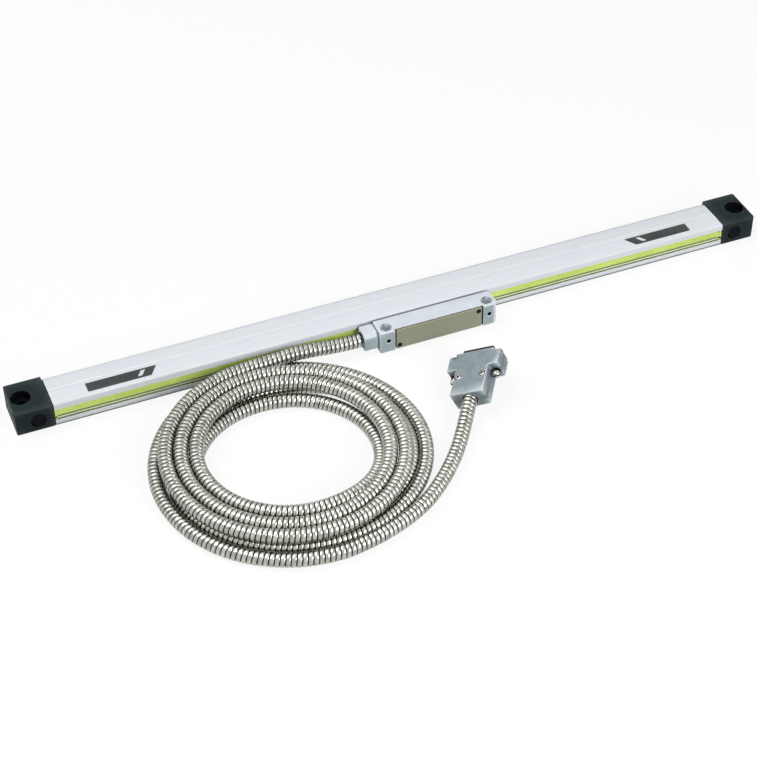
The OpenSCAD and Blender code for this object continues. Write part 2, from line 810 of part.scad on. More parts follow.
module head_cover() {
    front = head_front + cover_in;
    color([0.55, 0.55, 0.48])
    difference() {
        translate([head_x, front + cover_t, 0]) cover_plate(cover_t);
        for (side = [-1, 1]) {
            bar_y(cover_screw_at(side, front - past), cover_head_d + 0.2, cover_head_h + past);
            bar_y(cover_screw_at(side, front - past), cover_screw_d + 0.2,
                cover_t + 2 * past);
        }
    }
}

module cover_gasket() {
    color([0.06, 0.06, 0.06])
    difference() {
        translate([head_x, seat_y, 0]) cover_plate(cover_gasket_t);
        box([head_x - pocket_l / 2, seat_y - cover_gasket_t - past, pocket_low],
            [head_x + pocket_l / 2, seat_y + past, pocket_high]);
        for (side = [-1, 1])
            bar_y(cover_screw_at(side, seat_y - cover_gasket_t - past), cover_screw_d + 0.2,
                cover_gasket_t + 2 * past);
    }
}

// a screw along +Y with a socket of the given width in its head
module screw_y(at, head_d, head_h, d, l, socket) {
    difference() {
        union() {
            bar_y(at, head_d, head_h);
            bar_y(at, d, head_h + l);
        }
        translate(at - [0, past, 0]) rotate([-90, 0, 0])
            cylinder(d = socket, h = 0.55 * head_h + past, $fn = 6);
    }
}

module cover_screws() {
    color([0.08, 0.08, 0.08])
    for (side = [-1, 1])
        screw_y(cover_screw_at(side, head_front + cover_in + 0.05), cover_head_d,
            cover_head_h - 0.05, cover_screw_d - 0.05,
            seat_y - head_front - cover_in - cover_head_h + cover_screw_l - 0.2, 1.4);
}

// places of the chips and the contact pins beside the pillars
chip_l = 8;
chip_gap = 4;
pin_gap = 3;

module signal_board() {
    // board with its holes for the screws
    color([0.1, 0.35, 0.2])
    difference() {
        box([head_x - board_l / 2, board_y - board_t, board_z],
            [head_x + board_l / 2, board_y, board_z + board_h]);
        for (side = [-1, 1])
            bar_y([head_x + side * pillar_pitch / 2, board_y - board_t - past,
                board_z + board_h / 2], board_screw_d + 0.2, board_t + 2 * past);
    }
    // chips on the front, and the sockets of the ribbon and the cable on the back
    color([0.1, 0.1, 0.1]) {
        for (x = [chip_gap - pillar_pitch / 2, -chip_l / 2])
            box([head_x + x, board_y - board_t - 1, board_z + 1.5],
                [head_x + x + chip_l, board_y - board_t, board_z + board_h - 1.5]);
        box([head_x - ribbon_w / 2 - 1, board_y, ribbon_z + ribbon_t],
            [head_x + ribbon_w / 2 + 1, board_y + 2, board_z + board_h - 0.5]);
        box([head_x - board_l / 2, board_y, conduit_z - 2.5],
            [head_x - pillar_pitch / 2 - pillar_r - 0.1, pocket_back - 0.3, conduit_z + 2.5]);
    }
    color([0.8, 0.75, 0.6])
    for (i = [-5:0])
        bar_y([head_x + pillar_pitch / 2 - pin_gap + 2 * i, board_y - board_t - 0.8,
            board_z + board_h - 2.2], 0.9, 0.8);
}

module board_screws() {
    color([0.7, 0.7, 0.7])
    for (side = [-1, 1])
        screw_y([head_x + side * pillar_pitch / 2, board_y - board_t - 1,
            board_z + board_h / 2], 2.6, 1, board_screw_d - 0.05, board_t + board_screw_l - 0.2,
            1.2);
}

// ---------- drive blade ----------

module drive_blade() {
    half = blade_l / 2;
    reach = head_back + past / 2;
    color([0.75, 0.75, 0.75])
    difference() {
        union() {
            // flat blade with pointed ends where it parts the lips
            translate([head_x, 0, blade_z]) linear_extrude(blade_t)
                polygon([
                    [-half, pocket_back - foot_t], [half, pocket_back - foot_t],
                    [half, reach], [half - blade_taper / 2, front_y],
                    [half - blade_taper, blade_end], [blade_taper - half, blade_end],
                    [blade_taper / 2 - half, front_y], [-half, reach]
                ]);
            box([head_x - half, pocket_back - foot_t, blade_z - foot_h],
                [head_x + half, pocket_back, blade_z + blade_t]);
        }
        for (side = [-1, 1])
            bar_y(blade_screw_at(side, pocket_back - foot_t - past), blade_screw_d + 0.2,
                foot_t + 2 * past);
    }
}

module blade_screws() {
    color([0.3, 0.3, 0.3])
    for (side = [-1, 1])
        screw_y(blade_screw_at(side, pocket_back - foot_t - 1), 2.8, 1,
            blade_screw_d - 0.05, foot_t + blade_screw_l - 0.1, 1.2);
}

module ribbon_lead() {
    color([0.85, 0.6, 0.2]) {
        box([head_x - ribbon_w / 2, board_y + 0.3, ribbon_z],
            [head_x + ribbon_w / 2, carriage_front, ribbon_z + ribbon_t]);
        box([head_x - ribbon_w / 2 - 1, carriage_front - 1.6, ribbon_z + ribbon_t],
            [head_x + ribbon_w / 2 + 1, carriage_front, ribbon_z + ribbon_t + 2.2]);
    }
}

// open rings between the blade's inner edge and the carriage
module coupling_springs() {
    spring_d = carriage_front - blade_end;
    color([0.7, 0.7, 0.72])
    for (side = [-1, 1])
        translate([head_x + side * spring_x, blade_end + spring_d / 2,
            slit_z - spring_h / 2])
        difference() {
            cylinder(d = spring_d, h = spring_h);
            translate([0, 0, -past]) cylinder(d = spring_d - 2 * spring_t,
                h = spring_h + 2 * past);
            box([side > 0 ? 0 : -spring_d, -0.4, -past],
                [side > 0 ? spring_d : 0, 0.4, spring_h + past]);
        }
}

// ---------- scanning carriage ----------

module carriage() {
    half = carriage_l / 2;
    pocket = roller_r + roller_room;
    face_low = face_roller_z - roller_w / 2 - roller_side;
    face_high = face_roller_z + roller_w / 2 + roller_side;
    color([0.35, 0.36, 0.4])
    difference() {
        box([head_x - half, carriage_front, carriage_z],
            [head_x + half, carriage_back, carriage_top]);
        // channel for the glass
        box([head_x - half - past, arm_y, channel_z],
            [head_x + half + past, back_arm_y, carriage_top + past]);
        for (side = [-1, 1]) {
            // pocket and pin hole of the edge roller
            box([head_x + side * edge_roller_x - pocket,
                    glass_mid - roller_w / 2 - roller_side, carriage_z - past],
                [head_x + side * edge_roller_x + pocket,
                    glass_mid + roller_w / 2 + roller_side, channel_z + past]);
            bar_y([head_x + side * edge_roller_x, arm_y - pin_seat, edge_axis_z],
                pin_d + 0.02, pin_seat + carriage_back - arm_y - 1);
            // pocket and pin hole of the face roller
            box([head_x + side * face_roller_x - pocket, face_axis_y - pocket, face_low],
                [head_x + side * face_roller_x + pocket, arm_y + past, face_high]);
            bar_z([head_x + side * face_roller_x, face_axis_y, face_low - pin_seat],
                pin_d + 0.02, pin_seat + carriage_top - face_low + past);
        }
        // lamp, reticle and sensor seats
        bar_y([head_x, carriage_front - past, optic_z], lamp_d + 0.1,
            arm_y - reticle_t - carriage_front + past + 0.1);
        box([head_x - reticle_l / 2 - 0.1, arm_y - reticle_t, channel_z + 0.3],
            [head_x + reticle_l / 2 + 0.1, arm_y + past, carriage_top - 0.3]);
        box([head_x - sensor_l / 2 - 0.1, back_arm_y - past, channel_z + 0.3],
            [head_x + sensor_l / 2 + 0.1, back_arm_y + 2 * sensor_t, carriage_top - 0.3]);
    }
}
// depth of the pin holes beyond the roller pockets
pin_seat = 2.6;

module reticle() {
    color([0.7, 0.85, 0.8, 0.6])
    box([head_x - reticle_l / 2, arm_y - reticle_t, channel_z + 0.3],
        [head_x + reticle_l / 2, arm_y, carriage_top - 0.4]);
}

module lamp() {
    color([0.9, 0.9, 0.8])
    bar_y([head_x, carriage_front + 0.4, optic_z], lamp_d,
        arm_y - reticle_t - carriage_front - 0.4);
}

module sensor_board() {
    color([0.1, 0.3, 0.2])
    box([head_x - sensor_l / 2, back_arm_y + sensor_t, channel_z + 0.3],
        [head_x + sensor_l / 2, back_arm_y + 2 * sensor_t, carriage_top - 0.4]);
    color([0.15, 0.15, 0.2])
    box([head_x - reticle_l / 2, back_arm_y, channel_z + 1],
        [head_x + reticle_l / 2, back_arm_y + sensor_t, carriage_top - 1]);
}

module roller_pins() {
    face_low = face_roller_z - roller_w / 2 - roller_side;
    color([0.8, 0.8, 0.8])
    for (side = [-1, 1]) {
        bar_y([head_x + side * edge_roller_x, arm_y - pin_seat + 0.2, edge_axis_z], pin_d,
            pin_seat + carriage_back - arm_y - 1.4);
        bar_z([head_x + side * face_roller_x, face_axis_y, face_low - pin_seat + 0.2], pin_d,
            pin_seat + carriage_top - face_low - 0.4);
    }
}

module roller() {
    translate([0, 0, -roller_w / 2])
    difference() {
        cylinder(d = roller_d, h = roller_w);
        translate([0, 0, -past]) cylinder(d = pin_d + 2 * pin_fit, h = roller_w + 2 * past);
    }
}

module edge_roller(side) {
    color([0.82, 0.82, 0.84])
    translate([head_x + side * edge_roller_x, glass_mid, edge_axis_z])
        rotate([-90, 0, 0]) roller();
}

module face_roller(side) {
    color([0.82, 0.82, 0.84])
    translate([head_x + side * face_roller_x, face_axis_y, face_roller_z]) roller();
}

module roller_edge_left() { edge_roller(-1); }
module roller_edge_right() { edge_roller(1); }
module roller_face_left() { face_roller(-1); }
module roller_face_right() { face_roller(1); }

// ---------- cable gland ----------

module gland_section(inset = 0) {
    y0 = gland_front + inset;
    z0 = gland_z + inset;
    y1 = gland_front + gland_round;
    z1 = gland_top - gland_round;
    translate([y0, z0]) square([head_back - inset - y0, z1 - z0]);
    translate([y1, z0]) square([head_back - inset - y1, gland_top - inset - z0]);
    translate([y1, z1]) circle(gland_round - inset);
}

module gland_block() {
    color([0.8, 0.81, 0.86])
    difference() {
        along_x(gland_left, gland_l) gland_section();
        bar_x([gland_left - past, conduit_y, conduit_z], ferrule_d, seat_h + past);
        bar_x([gland_left, conduit_y, conduit_z], cable_bore_d, gland_l - 3);
        bar_x([gland_left + 4, passage_y, conduit_z], passage_d, gland_l);
        for (at = gland_screw_at) {
            bar_x([gland_left - past, at[0], at[1]], gland_screw_d + 0.2, gland_l + 2 * past);
            bar_x([gland_left - past, at[0], at[1]], gland_head_d + 0.2, 1.6 + past);
        }
    }
}

module gland_seal() {
    color([0.06, 0.06, 0.06])
    difference() {
        along_x(gland_right, seal_t) gland_section(0.2);
        bar_x([gland_right - past, passage_y, conduit_z], passage_d, seal_t + 2 * past);
        for (at = gland_screw_at)
            bar_x([gland_right - past, at[0], at[1]], gland_screw_d + 0.2, seal_t + 2 * past);
    }
}

module gland_screws() {
    color([0.25, 0.25, 0.25])
    for (at = gland_screw_at) {
        bar_x([gland_left + 0.4, at[0], at[1]], gland_head_d, 1.2);
        bar_x([gland_left + 0.4, at[0], at[1]], gland_screw_d - 0.05,
            gland_l + seal_t + gland_screw_l - 0.6);
    }
}

module ferrule() {
    x0 = gland_left - ferrule_out;
    color([0.15, 0.16, 0.16])
    difference() {
        bar_x([x0, conduit_y, conduit_z], ferrule_d - 0.1, ferrule_out + seat_h);
        bar_x([x0 - past, conduit_y, conduit_z], conduit_d + 0.2,
            ferrule_out + seat_h + 2 * past);
    }
}

// the cable's core leaves the conduit's end and enters the head's pocket
module signal_cable() {
    core_x = gland_left + seat_h;
    color([0.15, 0.15, 0.15])
    union() {
        bar_x([core_x, conduit_y, conduit_z], cable_d, gland_l - 3 - seat_h - 0.2);
        bar_x([core_x + 2, passage_y, conduit_z], lead_d,
            head_x - board_l / 2 - core_x - 2);
    }
}

// ---------- conduit ----------

module conduit_lead() {
    color([0.8, 0.78, 0.74]) swept_tube(lead_route, conduit_r, 12, 2);
}

module conduit_coil() {
    color([0.8, 0.78, 0.74])
    translate([coil_x, coil_y, 0]) rotate_extrude($fn = 96) polygon(coil_section);
}

module conduit_tail() {
    color([0.8, 0.78, 0.74]) swept_tube(tail_route, conduit_r, 12, 2);
}

// ---------- plug ----------

// outline of the hood seen from above
module hood_plan(inset) {
    w = hood_w / 2 - inset;
    f = flange_w / 2 - inset;
    lip = hood_lip_w / 2 - inset;
    y1 = hood_l - flange_l + inset;
    y2 = hood_l - inset;
    y3 = hood_l + hood_lip_l - inset;
    polygon([
        [-w, inset], [w, inset], [w, y1], [f, y1], [f, y2], [lip, y2], [lip, y3],
        [-lip, y3], [-lip, y2], [-f, y2], [-f, y1], [-w, y1]
    ]);
}

module hood_solid() {
    translate([0, 0, hood_edge]) linear_extrude(hood_t - 2 * hood_edge) hood_plan(0);
    linear_extrude(hood_t) hood_plan(hood_edge);
}

module hood_hollow() {
    inner = hood_w / 2 - hood_wall;
    // main space, then the seat behind the shell, with the jackscrew holes beside it
    box([-inner, entry_l, hood_wall], [inner, hood_l - flange_l + 3, hood_t - hood_wall]);
    box([-shell_w / 2 + 1.2, hood_l - flange_l, half_t - shell_h / 2 + 0.4],
        [shell_w / 2 - 1.2, hood_l + past, half_t + shell_h / 2 - 0.4]);
    for (side = [-1, 1])
        bar_y([side * jack_x, hood_l - flange_l - past, half_t], jack_d + 2 * jack_fit,
            flange_l + 2 * past);
    bar_y([0, -past, half_t], entry_d, 5 + past);
    bar_y([0, 0, half_t], cable_bore_d, entry_l + past);
    for (side = [-1, 1])
        bar_z([side * hood_screw_x, hood_screw_y, hood_t / 4], hood_screw_d, hood_t);
    // slot of the shell's plate in the front lip, and the opening round the shell
    box([-flange_w, plate_y, half_t - plate_h / 2 - hood_lip_fit],
        [flange_w, plate_y + plate_t + hood_lip_fit, half_t + plate_h / 2 + hood_lip_fit]);
    forward(plate_y, hood_lip_l + past)
        d_outline(shell_w + 2 * hood_lip_fit, shell_h + 2 * hood_lip_fit);
}

module hood_half(z0, z1) {
    difference() {
        intersection() {
            hood_solid();
            box([-flange_w, -past, z0], [flange_w, hood_l + hood_lip_l + past, z1]);
        }
        hood_hollow();
    }
    // pillars round the hood screws, inside the main space
    for (side = [-1, 1])
        difference() {
            bar_z([side * (hood_w / 2 - hood_wall - 1.7), hood_screw_y,
                max(z0, hood_wall - 0.2)], 4.4,
                min(z1, hood_t - hood_wall + 0.2) - max(z0, hood_wall - 0.2));
            bar_z([side * hood_screw_x, hood_screw_y, hood_t / 4], hood_screw_d, hood_t);
        }
}

module hood_upper() {
    color([0.62, 0.66, 0.7]) plug_frame() hood_half(half_t, hood_t);
}

module hood_lower() {
    color([0.62, 0.66, 0.7]) plug_frame() hood_half(0, half_t);
}

// D-shaped outline, its wide side up, centred on the hood's middle
module d_outline(w, h) {
    b = 1.8;
    n = w / 2 - h * tan(10);
    polygon([
        [-w / 2, h / 2 - b], [-w / 2 + b, h / 2], [w / 2 - b, h / 2], [w / 2, h / 2 - b],
        [n, b - h / 2], [n - b, -h / 2], [b - n, -h / 2], [-n, b - h / 2]
    ]);
}

// runs an outline drawn in the plug's XZ plane forward from y0
module forward(y0, length) {
    translate([0, y0 + length, half_t]) rotate([90, 0, 0]) linear_extrude(length) children();
}

module plug_shell() {
    color([0.72, 0.72, 0.7])
    plug_frame()
    difference() {
        union() {
            forward(plate_y, plate_t)
                bevelled(-flange_w / 2 + 0.2, -plate_h / 2, flange_w / 2 - 0.2, plate_h / 2, 1);
            forward(plate_y, plate_t + shell_l) d_outline(shell_w, shell_h);
        }
        forward(plate_y - past, plate_t + shell_l + 2 * past)
            d_outline(shell_w - 2 * shell_wall, shell_h - 2 * shell_wall);
        for (side = [-1, 1])
            bar_y([side * jack_x, plate_y - past, half_t], jack_d + 2 * jack_fit,
                plate_t + 2 * past);
    }
}

// places of the contacts: eight in the upper row and seven in the lower one, as [x, z]
contact_at = [
    for (row = pin_rows, i = [0:row[0] - 1])
    [(i - (row[0] - 1) / 2) * contact_pitch, row[1] * row_pitch]
];
insulator_back = 3;

module plug_insulator() {
    color([0.05, 0.05, 0.05])
    plug_frame()
    difference() {
        union() {
            forward(plate_y, plate_t + 1.2)
                d_outline(shell_w - 2 * shell_wall - 0.1, shell_h - 2 * shell_wall - 0.1);
            forward(plate_y - insulator_back, insulator_back)
                bevelled(-shell_w / 2 + 1.3, -shell_h / 2 + 0.5, shell_w / 2 - 1.3,
                    shell_h / 2 - 0.5, 0.5);
        }
        for (at = contact_at)
            bar_y([at[0], plate_y - insulator_back - past, half_t + at[1]], contact_d + 0.04,
                insulator_back + plate_t + 1.2 + 2 * past);
    }
}

module plug_contacts() {
    color([0.85, 0.7, 0.3])
    plug_frame()
    for (at = contact_at)
        bar_y([at[0], plate_y - insulator_back - 2, half_t + at[1]], contact_d,
            insulator_back + plate_t + shell_l + 1);
}

module hood_screws() {
    color([0.75, 0.75, 0.75])
    plug_frame()
    for (side = [-1, 1])
        difference() {
            union() {
                bar_z([side * hood_screw_x, hood_screw_y, hood_t], hood_head_d, hood_head_h);
                bar_z([side * hood_screw_x, hood_screw_y, hood_t / 4 + 0.3],
                    hood_screw_d - 0.05, hood_t * 0.75);
            }
            for (turn = [0, 90])
                translate([side * hood_screw_x, hood_screw_y, hood_t + hood_head_h])
                rotate(turn) cube([0.6, 2.8, 1], center = true);
        }
}

module plug_ferrule() {
    color([0.08, 0.08, 0.08])
    plug_frame()
    difference() {
        bar_y([0, 0.8, half_t], entry_d - 0.1, 4.2);
        bar_y([0, 0.8 - past, half_t], conduit_d + 0.2, 2.2 + past);
        bar_y([0, 0, half_t], cable_bore_d, 6);
    }
}

module jackscrew(side) {
    back = hood_l - flange_l;
    color([0.8, 0.8, 0.78])
    plug_frame()
    difference() {
        union() {
            bar_y([side * jack_x, back - 0.3 - jack_head_l, half_t], jack_head_d, jack_head_l);
            bar_y([side * jack_x, back - 0.5, half_t], jack_d,
                flange_l + plate_t + jack_out + 0.5);
        }
        translate([side * jack_x, back - 0.3 - jack_head_l, half_t])
            cube([jack_head_d + past, 2, 0.9], center = true);
    }
}

module jackscrew_left() { jackscrew(-1); }
module jackscrew_right() { jackscrew(1); }

// ---------- nodes ----------

housing();
end_cap_left();
end_cap_right();
gasket_left();
gasket_right();
cap_screws();
glass_scale();
grating_track();
bond_strip();
seal_lip_upper();
seal_lip_lower();
lip_retainers();
label_left();
label_right();
head_block();
head_cover();
cover_gasket();
cover_screws();
signal_board();
board_screws();
drive_blade();
blade_screws();
ribbon_lead();
coupling_springs();
carriage();
reticle();
lamp();
sensor_board();
roller_pins();
roller_edge_left();
roller_edge_right();
roller_face_left();
roller_face_right();
gland_block();
gland_seal();
gland_screws();
ferrule();
signal_cable();
conduit_lead();
conduit_coil();
conduit_tail();
hood_upper();
hood_lower();
plug_shell();
plug_insulator();
plug_contacts();
hood_screws();
plug_ferrule();
jackscrew_left();
jackscrew_right();
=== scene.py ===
"""Dresses the sealed linear scale: housing, caps, seal lips, reading head, armoured cable and plug."""

import logging
import math
from contextlib import contextmanager
from dataclasses import dataclass, replace
from enum import Enum
from typing import Any, Callable, Iterator, Sequence

import bmesh
import bpy
import numpy as np
from mathutils import Matrix, Vector


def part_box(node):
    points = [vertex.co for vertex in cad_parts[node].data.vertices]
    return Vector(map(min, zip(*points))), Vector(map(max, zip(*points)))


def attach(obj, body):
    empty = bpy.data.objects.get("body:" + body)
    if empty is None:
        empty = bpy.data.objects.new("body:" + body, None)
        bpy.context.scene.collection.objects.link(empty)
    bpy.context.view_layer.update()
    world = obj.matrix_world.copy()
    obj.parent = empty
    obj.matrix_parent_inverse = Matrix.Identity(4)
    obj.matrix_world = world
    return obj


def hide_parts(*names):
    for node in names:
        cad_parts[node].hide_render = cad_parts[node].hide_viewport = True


MM = 0.001
SAME = 0.01  # millimetres within which two places count as one
Triple = tuple[float, float, float]
Colour = tuple[float, float, float]
Piece = bpy.types.Object
Material = bpy.types.Material
Node = bpy.types.Node
Socket = bpy.types.NodeSocket
Tree = bpy.types.NodeTree
Point = Sequence[float]
EdgeTest = Callable[[Vector, Vector], bool]
FaceTest = Callable[[Vector, Vector], bool]

logging.basicConfig(level=logging.INFO, format="%(levelname)s %(message)s")
log = logging.getLogger("glass_scale")

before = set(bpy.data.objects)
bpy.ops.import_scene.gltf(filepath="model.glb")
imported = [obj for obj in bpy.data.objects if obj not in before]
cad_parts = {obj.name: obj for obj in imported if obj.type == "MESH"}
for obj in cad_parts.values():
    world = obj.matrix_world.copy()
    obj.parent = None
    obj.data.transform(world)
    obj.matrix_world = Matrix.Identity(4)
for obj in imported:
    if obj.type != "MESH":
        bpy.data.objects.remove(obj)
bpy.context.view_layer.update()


# ---------------------------------------------------------------- modelling bench


def metres(point: Point) -> Vector:
    """Turns a point in millimetres into metres."""
    return Vector(point) * MM


def node_box(node: str) -> tuple[Vector, Vector]:
    """Gives a frame node's lowest and highest corner in millimetres."""
    low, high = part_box(node)
    return low / MM, high / MM


def release() -> None:
    """Leaves edit mode and deselects everything."""
    active = bpy.context.view_layer.objects.active
    if active is not None and active.mode != "OBJECT":
        bpy.ops.object.mode_set(mode="OBJECT")
    bpy.ops.object.select_all(action="DESELECT")


def hold(piece: Piece) -> None:
    """Selects one piece alone and makes it active."""
    release()
    piece.select_set(True)
    bpy.context.view_layer.objects.active = piece


def added(name: str) -> Piece:
    """Names the primitive that was just added and moves its place into its mesh."""
    piece = bpy.context.view_layer.objects.active
    piece.name = name
    piece.data.name = name
    bpy.ops.object.transform_apply(location=True, rotation=True, scale=True)
    return piece


def block(name: str, low: Point, high: Point) -> Piece:
    """Adds a block between two corners.

    Args:
        name: Name of the new piece.
        low: Lowest corner in millimetres.
        high: Highest corner in millimetres.

    Returns:
        The new piece.
    """
    low_v, high_v = metres(low), metres(high)
    release()
    bpy.ops.mesh.primitive_cube_add(size=1, location=(low_v + high_v) / 2, scale=high_v - low_v)
    return added(name)


def rod(
    name: str, start: Point, along: Point, radius: float, sides: int = 48, tip: float | None = None
) -> Piece:
    """Adds a round bar, or a cone where the far end has another radius.

    Args:
        name: Name of the new piece.
        start: Centre of the first end in millimetres.
        along: Vector from the first end to the other, in millimetres.
        radius: Radius in millimetres.
        sides: Number of sides.
        tip: Radius of the far end, where it differs.

    Returns:
        The new piece.
    """
    reach = Vector(along)
    release()
    bpy.ops.mesh.primitive_cone_add(
        vertices=sides,
        radius1=radius * MM,
        radius2=(radius if tip is None else tip) * MM,
        depth=reach.length * MM,
        location=metres(Vector(start) + reach / 2),
        rotation=reach.to_track_quat("Z", "Y").to_euler(),
    )
    return added(name)


@contextmanager
def editing(piece: Piece, mode: str = "EDGE") -> Iterator[bmesh.types.BMesh]:
    """Opens a piece in edit mode with nothing selected, and closes it afterwards."""
    hold(piece)
    bpy.ops.object.mode_set(mode="EDIT")
    bpy.ops.mesh.select_mode(type=mode)
    bpy.ops.mesh.select_all(action="DESELECT")
    yield bmesh.from_edit_mesh(piece.data)
    bpy.ops.object.mode_set(mode="OBJECT")


def pick_edges(mesh: bmesh.types.BMesh, test: EdgeTest) -> bool:
    """Selects the edges whose two ends, in millimetres, pass a test, and tells if any does."""
    picked = False
    for edge in mesh.edges:
        if test(*(vert.co / MM for vert in edge.verts)):
            edge.select_set(True)
            picked = True
    return picked


def lying_at(axis: int, place: float) -> EdgeTest:
    """Gives a test for the edges that lie in the plane at a place along an axis."""
    return lambda first, second: all(abs(end[axis] - place) < SAME for end in (first, second))


def lying_past(axis: int, place: float, way: int = 1) -> EdgeTest:
    """Gives a test for the edges past a place along an axis, or before it with way -1."""
    return lambda first, second: all(way * (end[axis] - place) > 0 for end in (first, second))


def pick_faces(mesh: bmesh.types.BMesh, test: FaceTest) -> None:
    """Selects the faces whose centre, in millimetres, and normal pass a test."""
    for face in mesh.faces:
        if test(face.calc_center_median() / MM, face.normal):
            face.select_set(True)


def bevel_edges(piece: Piece, test: EdgeTest, width: float, segments: int = 2) -> None:
    """Bevels the edges that pass a test, by a width in millimetres."""
    with editing(piece) as mesh:
        if pick_edges(mesh, test):
            bpy.ops.mesh.bevel(offset=width * MM, segments=segments, affect="EDGES")


def slice_off(piece: Piece, point: Point, normal: Point) -> None:
    """Cuts away what lies on the normal's side of a plane and fills the cut."""
    with editing(piece):
        bpy.ops.mesh.select_all(action="SELECT")
        bpy.ops.mesh.bisect(
            plane_co=metres(point),
            plane_no=Vector(normal).normalized(),
            use_fill=True,
            clear_outer=True,
        )


def draw_out(piece: Piece, test: FaceTest, steps: Sequence[tuple[Triple, Triple]]) -> None:
    """Extrudes the faces that pass a test, step by step.

    Args:
        piece: Piece to change.
        test: Which faces are drawn out.
        steps: For each step, the move in millimetres and the scale about its middle.
    """
    with editing(piece, "FACE") as mesh:
        pick_faces(mesh, test)
        for move, scale in steps:
            bpy.ops.mesh.extrude_region_move(TRANSFORM_OT_translate={"value": metres(move)})
            if scale != (1, 1, 1):
                bpy.ops.transform.resize(value=scale)


def apply(piece: Piece, kind: str, **settings: object) -> None:
    """Adds a modifier with the given settings and applies it."""
    hold(piece)
    modifier = piece.modifiers.new(kind.lower(), kind)
    for name, value in settings.items():
        setattr(modifier, name, value)
    bpy.ops.object.modifier_apply(modifier=modifier.name)


def combine(piece: Piece, others: Sequence[Piece], operation: str) -> Piece:
    """Joins, cuts or crosses a piece with others, which are used up."""
    for other in others:
        apply(piece, "BOOLEAN", object=other, operation=operation, solver="EXACT")
        bpy.data.objects.remove(other)
    return piece


def cut(piece: Piece, *cutters: Piece) -> Piece:
    """Takes the cutters out of a piece."""
    return combine(piece, cutters, "DIFFERENCE")


def fuse(piece: Piece, *others: Piece) -> Piece:
    """Makes one solid of a piece and others."""
    return combine(piece, others, "UNION")


def soften(piece: Piece, width: float, segments: int = 2, angle: float = 40) -> None:
    """Rounds every edge sharper than an angle in degrees, by a width in millimetres."""
    apply(
        piece,
        "BEVEL",
        width=width * MM,
        segments=segments,
        limit_method="ANGLE",
        angle_limit=math.radians(angle),
        use_clamp_overlap=True,
    )


def join(name: str, pieces: Sequence[Piece]) -> Piece:
    """Makes one piece of several that lie apart."""
    release()
    for piece in pieces:
        piece.select_set(True)
    bpy.context.view_layer.objects.active = pieces[0]
    bpy.ops.object.join()
    pieces[0].name = name
    pieces[0].data.name = name
    return pieces[0]


def recess_for(name: str, face: Point, inward: Point, radius: float, depth: float) -> Piece:
    """Adds a round cutter that opens a face and runs to a depth, in millimetres."""
    way = Vector(inward).normalized()
    return rod(name, Vector(face) - way, way * (depth + 1), radius)


def dress(
    piece: Piece,
    finish: "Finish",
    body: str,
    replaced: Sequence[str] = (),
    angle: float = 35,
) -> Piece:
    """Smooths and paints a piece, and ties it to its body.

    Args:
        piece: Finished mesh.
        finish: Finish to give it.
        body: Body that it rides on.
        replaced: Frame nodes that it stands for.
        angle: Edges sharper than this angle in degrees stay sharp.

    Returns:
        The piece.
    """
    hold(piece)
    bpy.ops.object.shade_smooth_by_angle(angle=math.radians(angle))
    piece.data.materials.clear()
    piece.data.materials.append(finish.material())
    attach(piece, body)
    if replaced:
        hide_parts(*replaced)
    log.info("%s: %d faces on %s", piece.name, len(piece.data.polygons), body)
    return piece


def repaint(piece: Piece, finish: "Finish", test: FaceTest) -> None:
    """Gives the faces that pass a test another finish."""
    material = finish.material()
    if piece.data.materials.find(material.name) < 0:
        piece.data.materials.append(material)
    for face in piece.data.polygons:
        if test(face.center / MM, face.normal):
            face.material_index = piece.data.materials.find(material.name)


# ---------------------------------------------------------------- shader nodes


def fill(made: Node, inputs: dict[int | str, object]) -> None:
    """Fills a node's inputs with values or with other nodes' outputs."""
    for socket, value in inputs.items():
        if isinstance(value, Socket):
            made.id_data.links.new(value, made.inputs[socket])
        else:
            made.inputs[socket].default_value = value


def add_node(
    tree: Tree, kind: str, inputs: dict[int | str, object] | None = None, **settings: object
) -> Node:
    """Adds a shader node.

    Args:
        tree: Tree that takes the node.
        kind: The node's type, without its prefix.
        inputs: Value or output for each input to fill.
        settings: Properties, set before the inputs are filled.

    Returns:
        The new node.
    """
    made = tree.nodes.new("ShaderNode" + kind)
    for name, value in settings.items():
        setattr(made, name, value)
    fill(made, inputs or {})
    return made


def maths(tree: Tree, operation: str, *values: object) -> Socket:
    """Adds a math node on the given values and gives its result."""
    return add_node(tree, "Math", dict(enumerate(values)), operation=operation).outputs[0]


def ranged(
    tree: Tree,
    value: Socket,
    source: tuple[float, float],
    target: tuple[float, float] = (0.0, 1.0),
) -> Socket:
    """Maps a value from one range to another, clamped at both ends."""
    ends = dict(zip(("From Min", "From Max", "To Min", "To Max"), source + target))
    return add_node(tree, "MapRange", {"Value": value, **ends}).outputs["Result"]


def blended(tree: Tree, factor: Socket, first: object, second: object) -> Socket:
    """Mixes two colours by a factor and gives the result."""
    mix = add_node(tree, "Mix", {"Factor": factor, "A": first, "B": second}, data_type="RGBA")
    return mix.outputs["Result"]


def shaded(
    tree: Tree, value: Socket, stops: Sequence[tuple[float, Colour]], interpolation: str = "LINEAR"
) -> Socket:
    """Turns a value into a colour between two stops."""
    ramp = add_node(tree, "ValToRGB", {0: value})
    ramp.color_ramp.interpolation = interpolation
    for element, (place, colour) in zip(ramp.color_ramp.elements, stops):
        element.position = place
        element.color = (*colour, 1)
    return ramp.outputs["Color"]


def noise(tree: Tree, place: Socket, scale: object, detail: float = 2.0) -> Socket:
    """Adds a noise texture and gives its value."""
    inputs = {"Vector": place, "Scale": scale, "Detail": detail}
    return add_node(tree, "TexNoise", inputs).outputs["Fac"]


def object_place(tree: Tree) -> Socket:
    """Gives the place on the object, in metres."""
    return add_node(tree, "TexCoord").outputs["Object"]


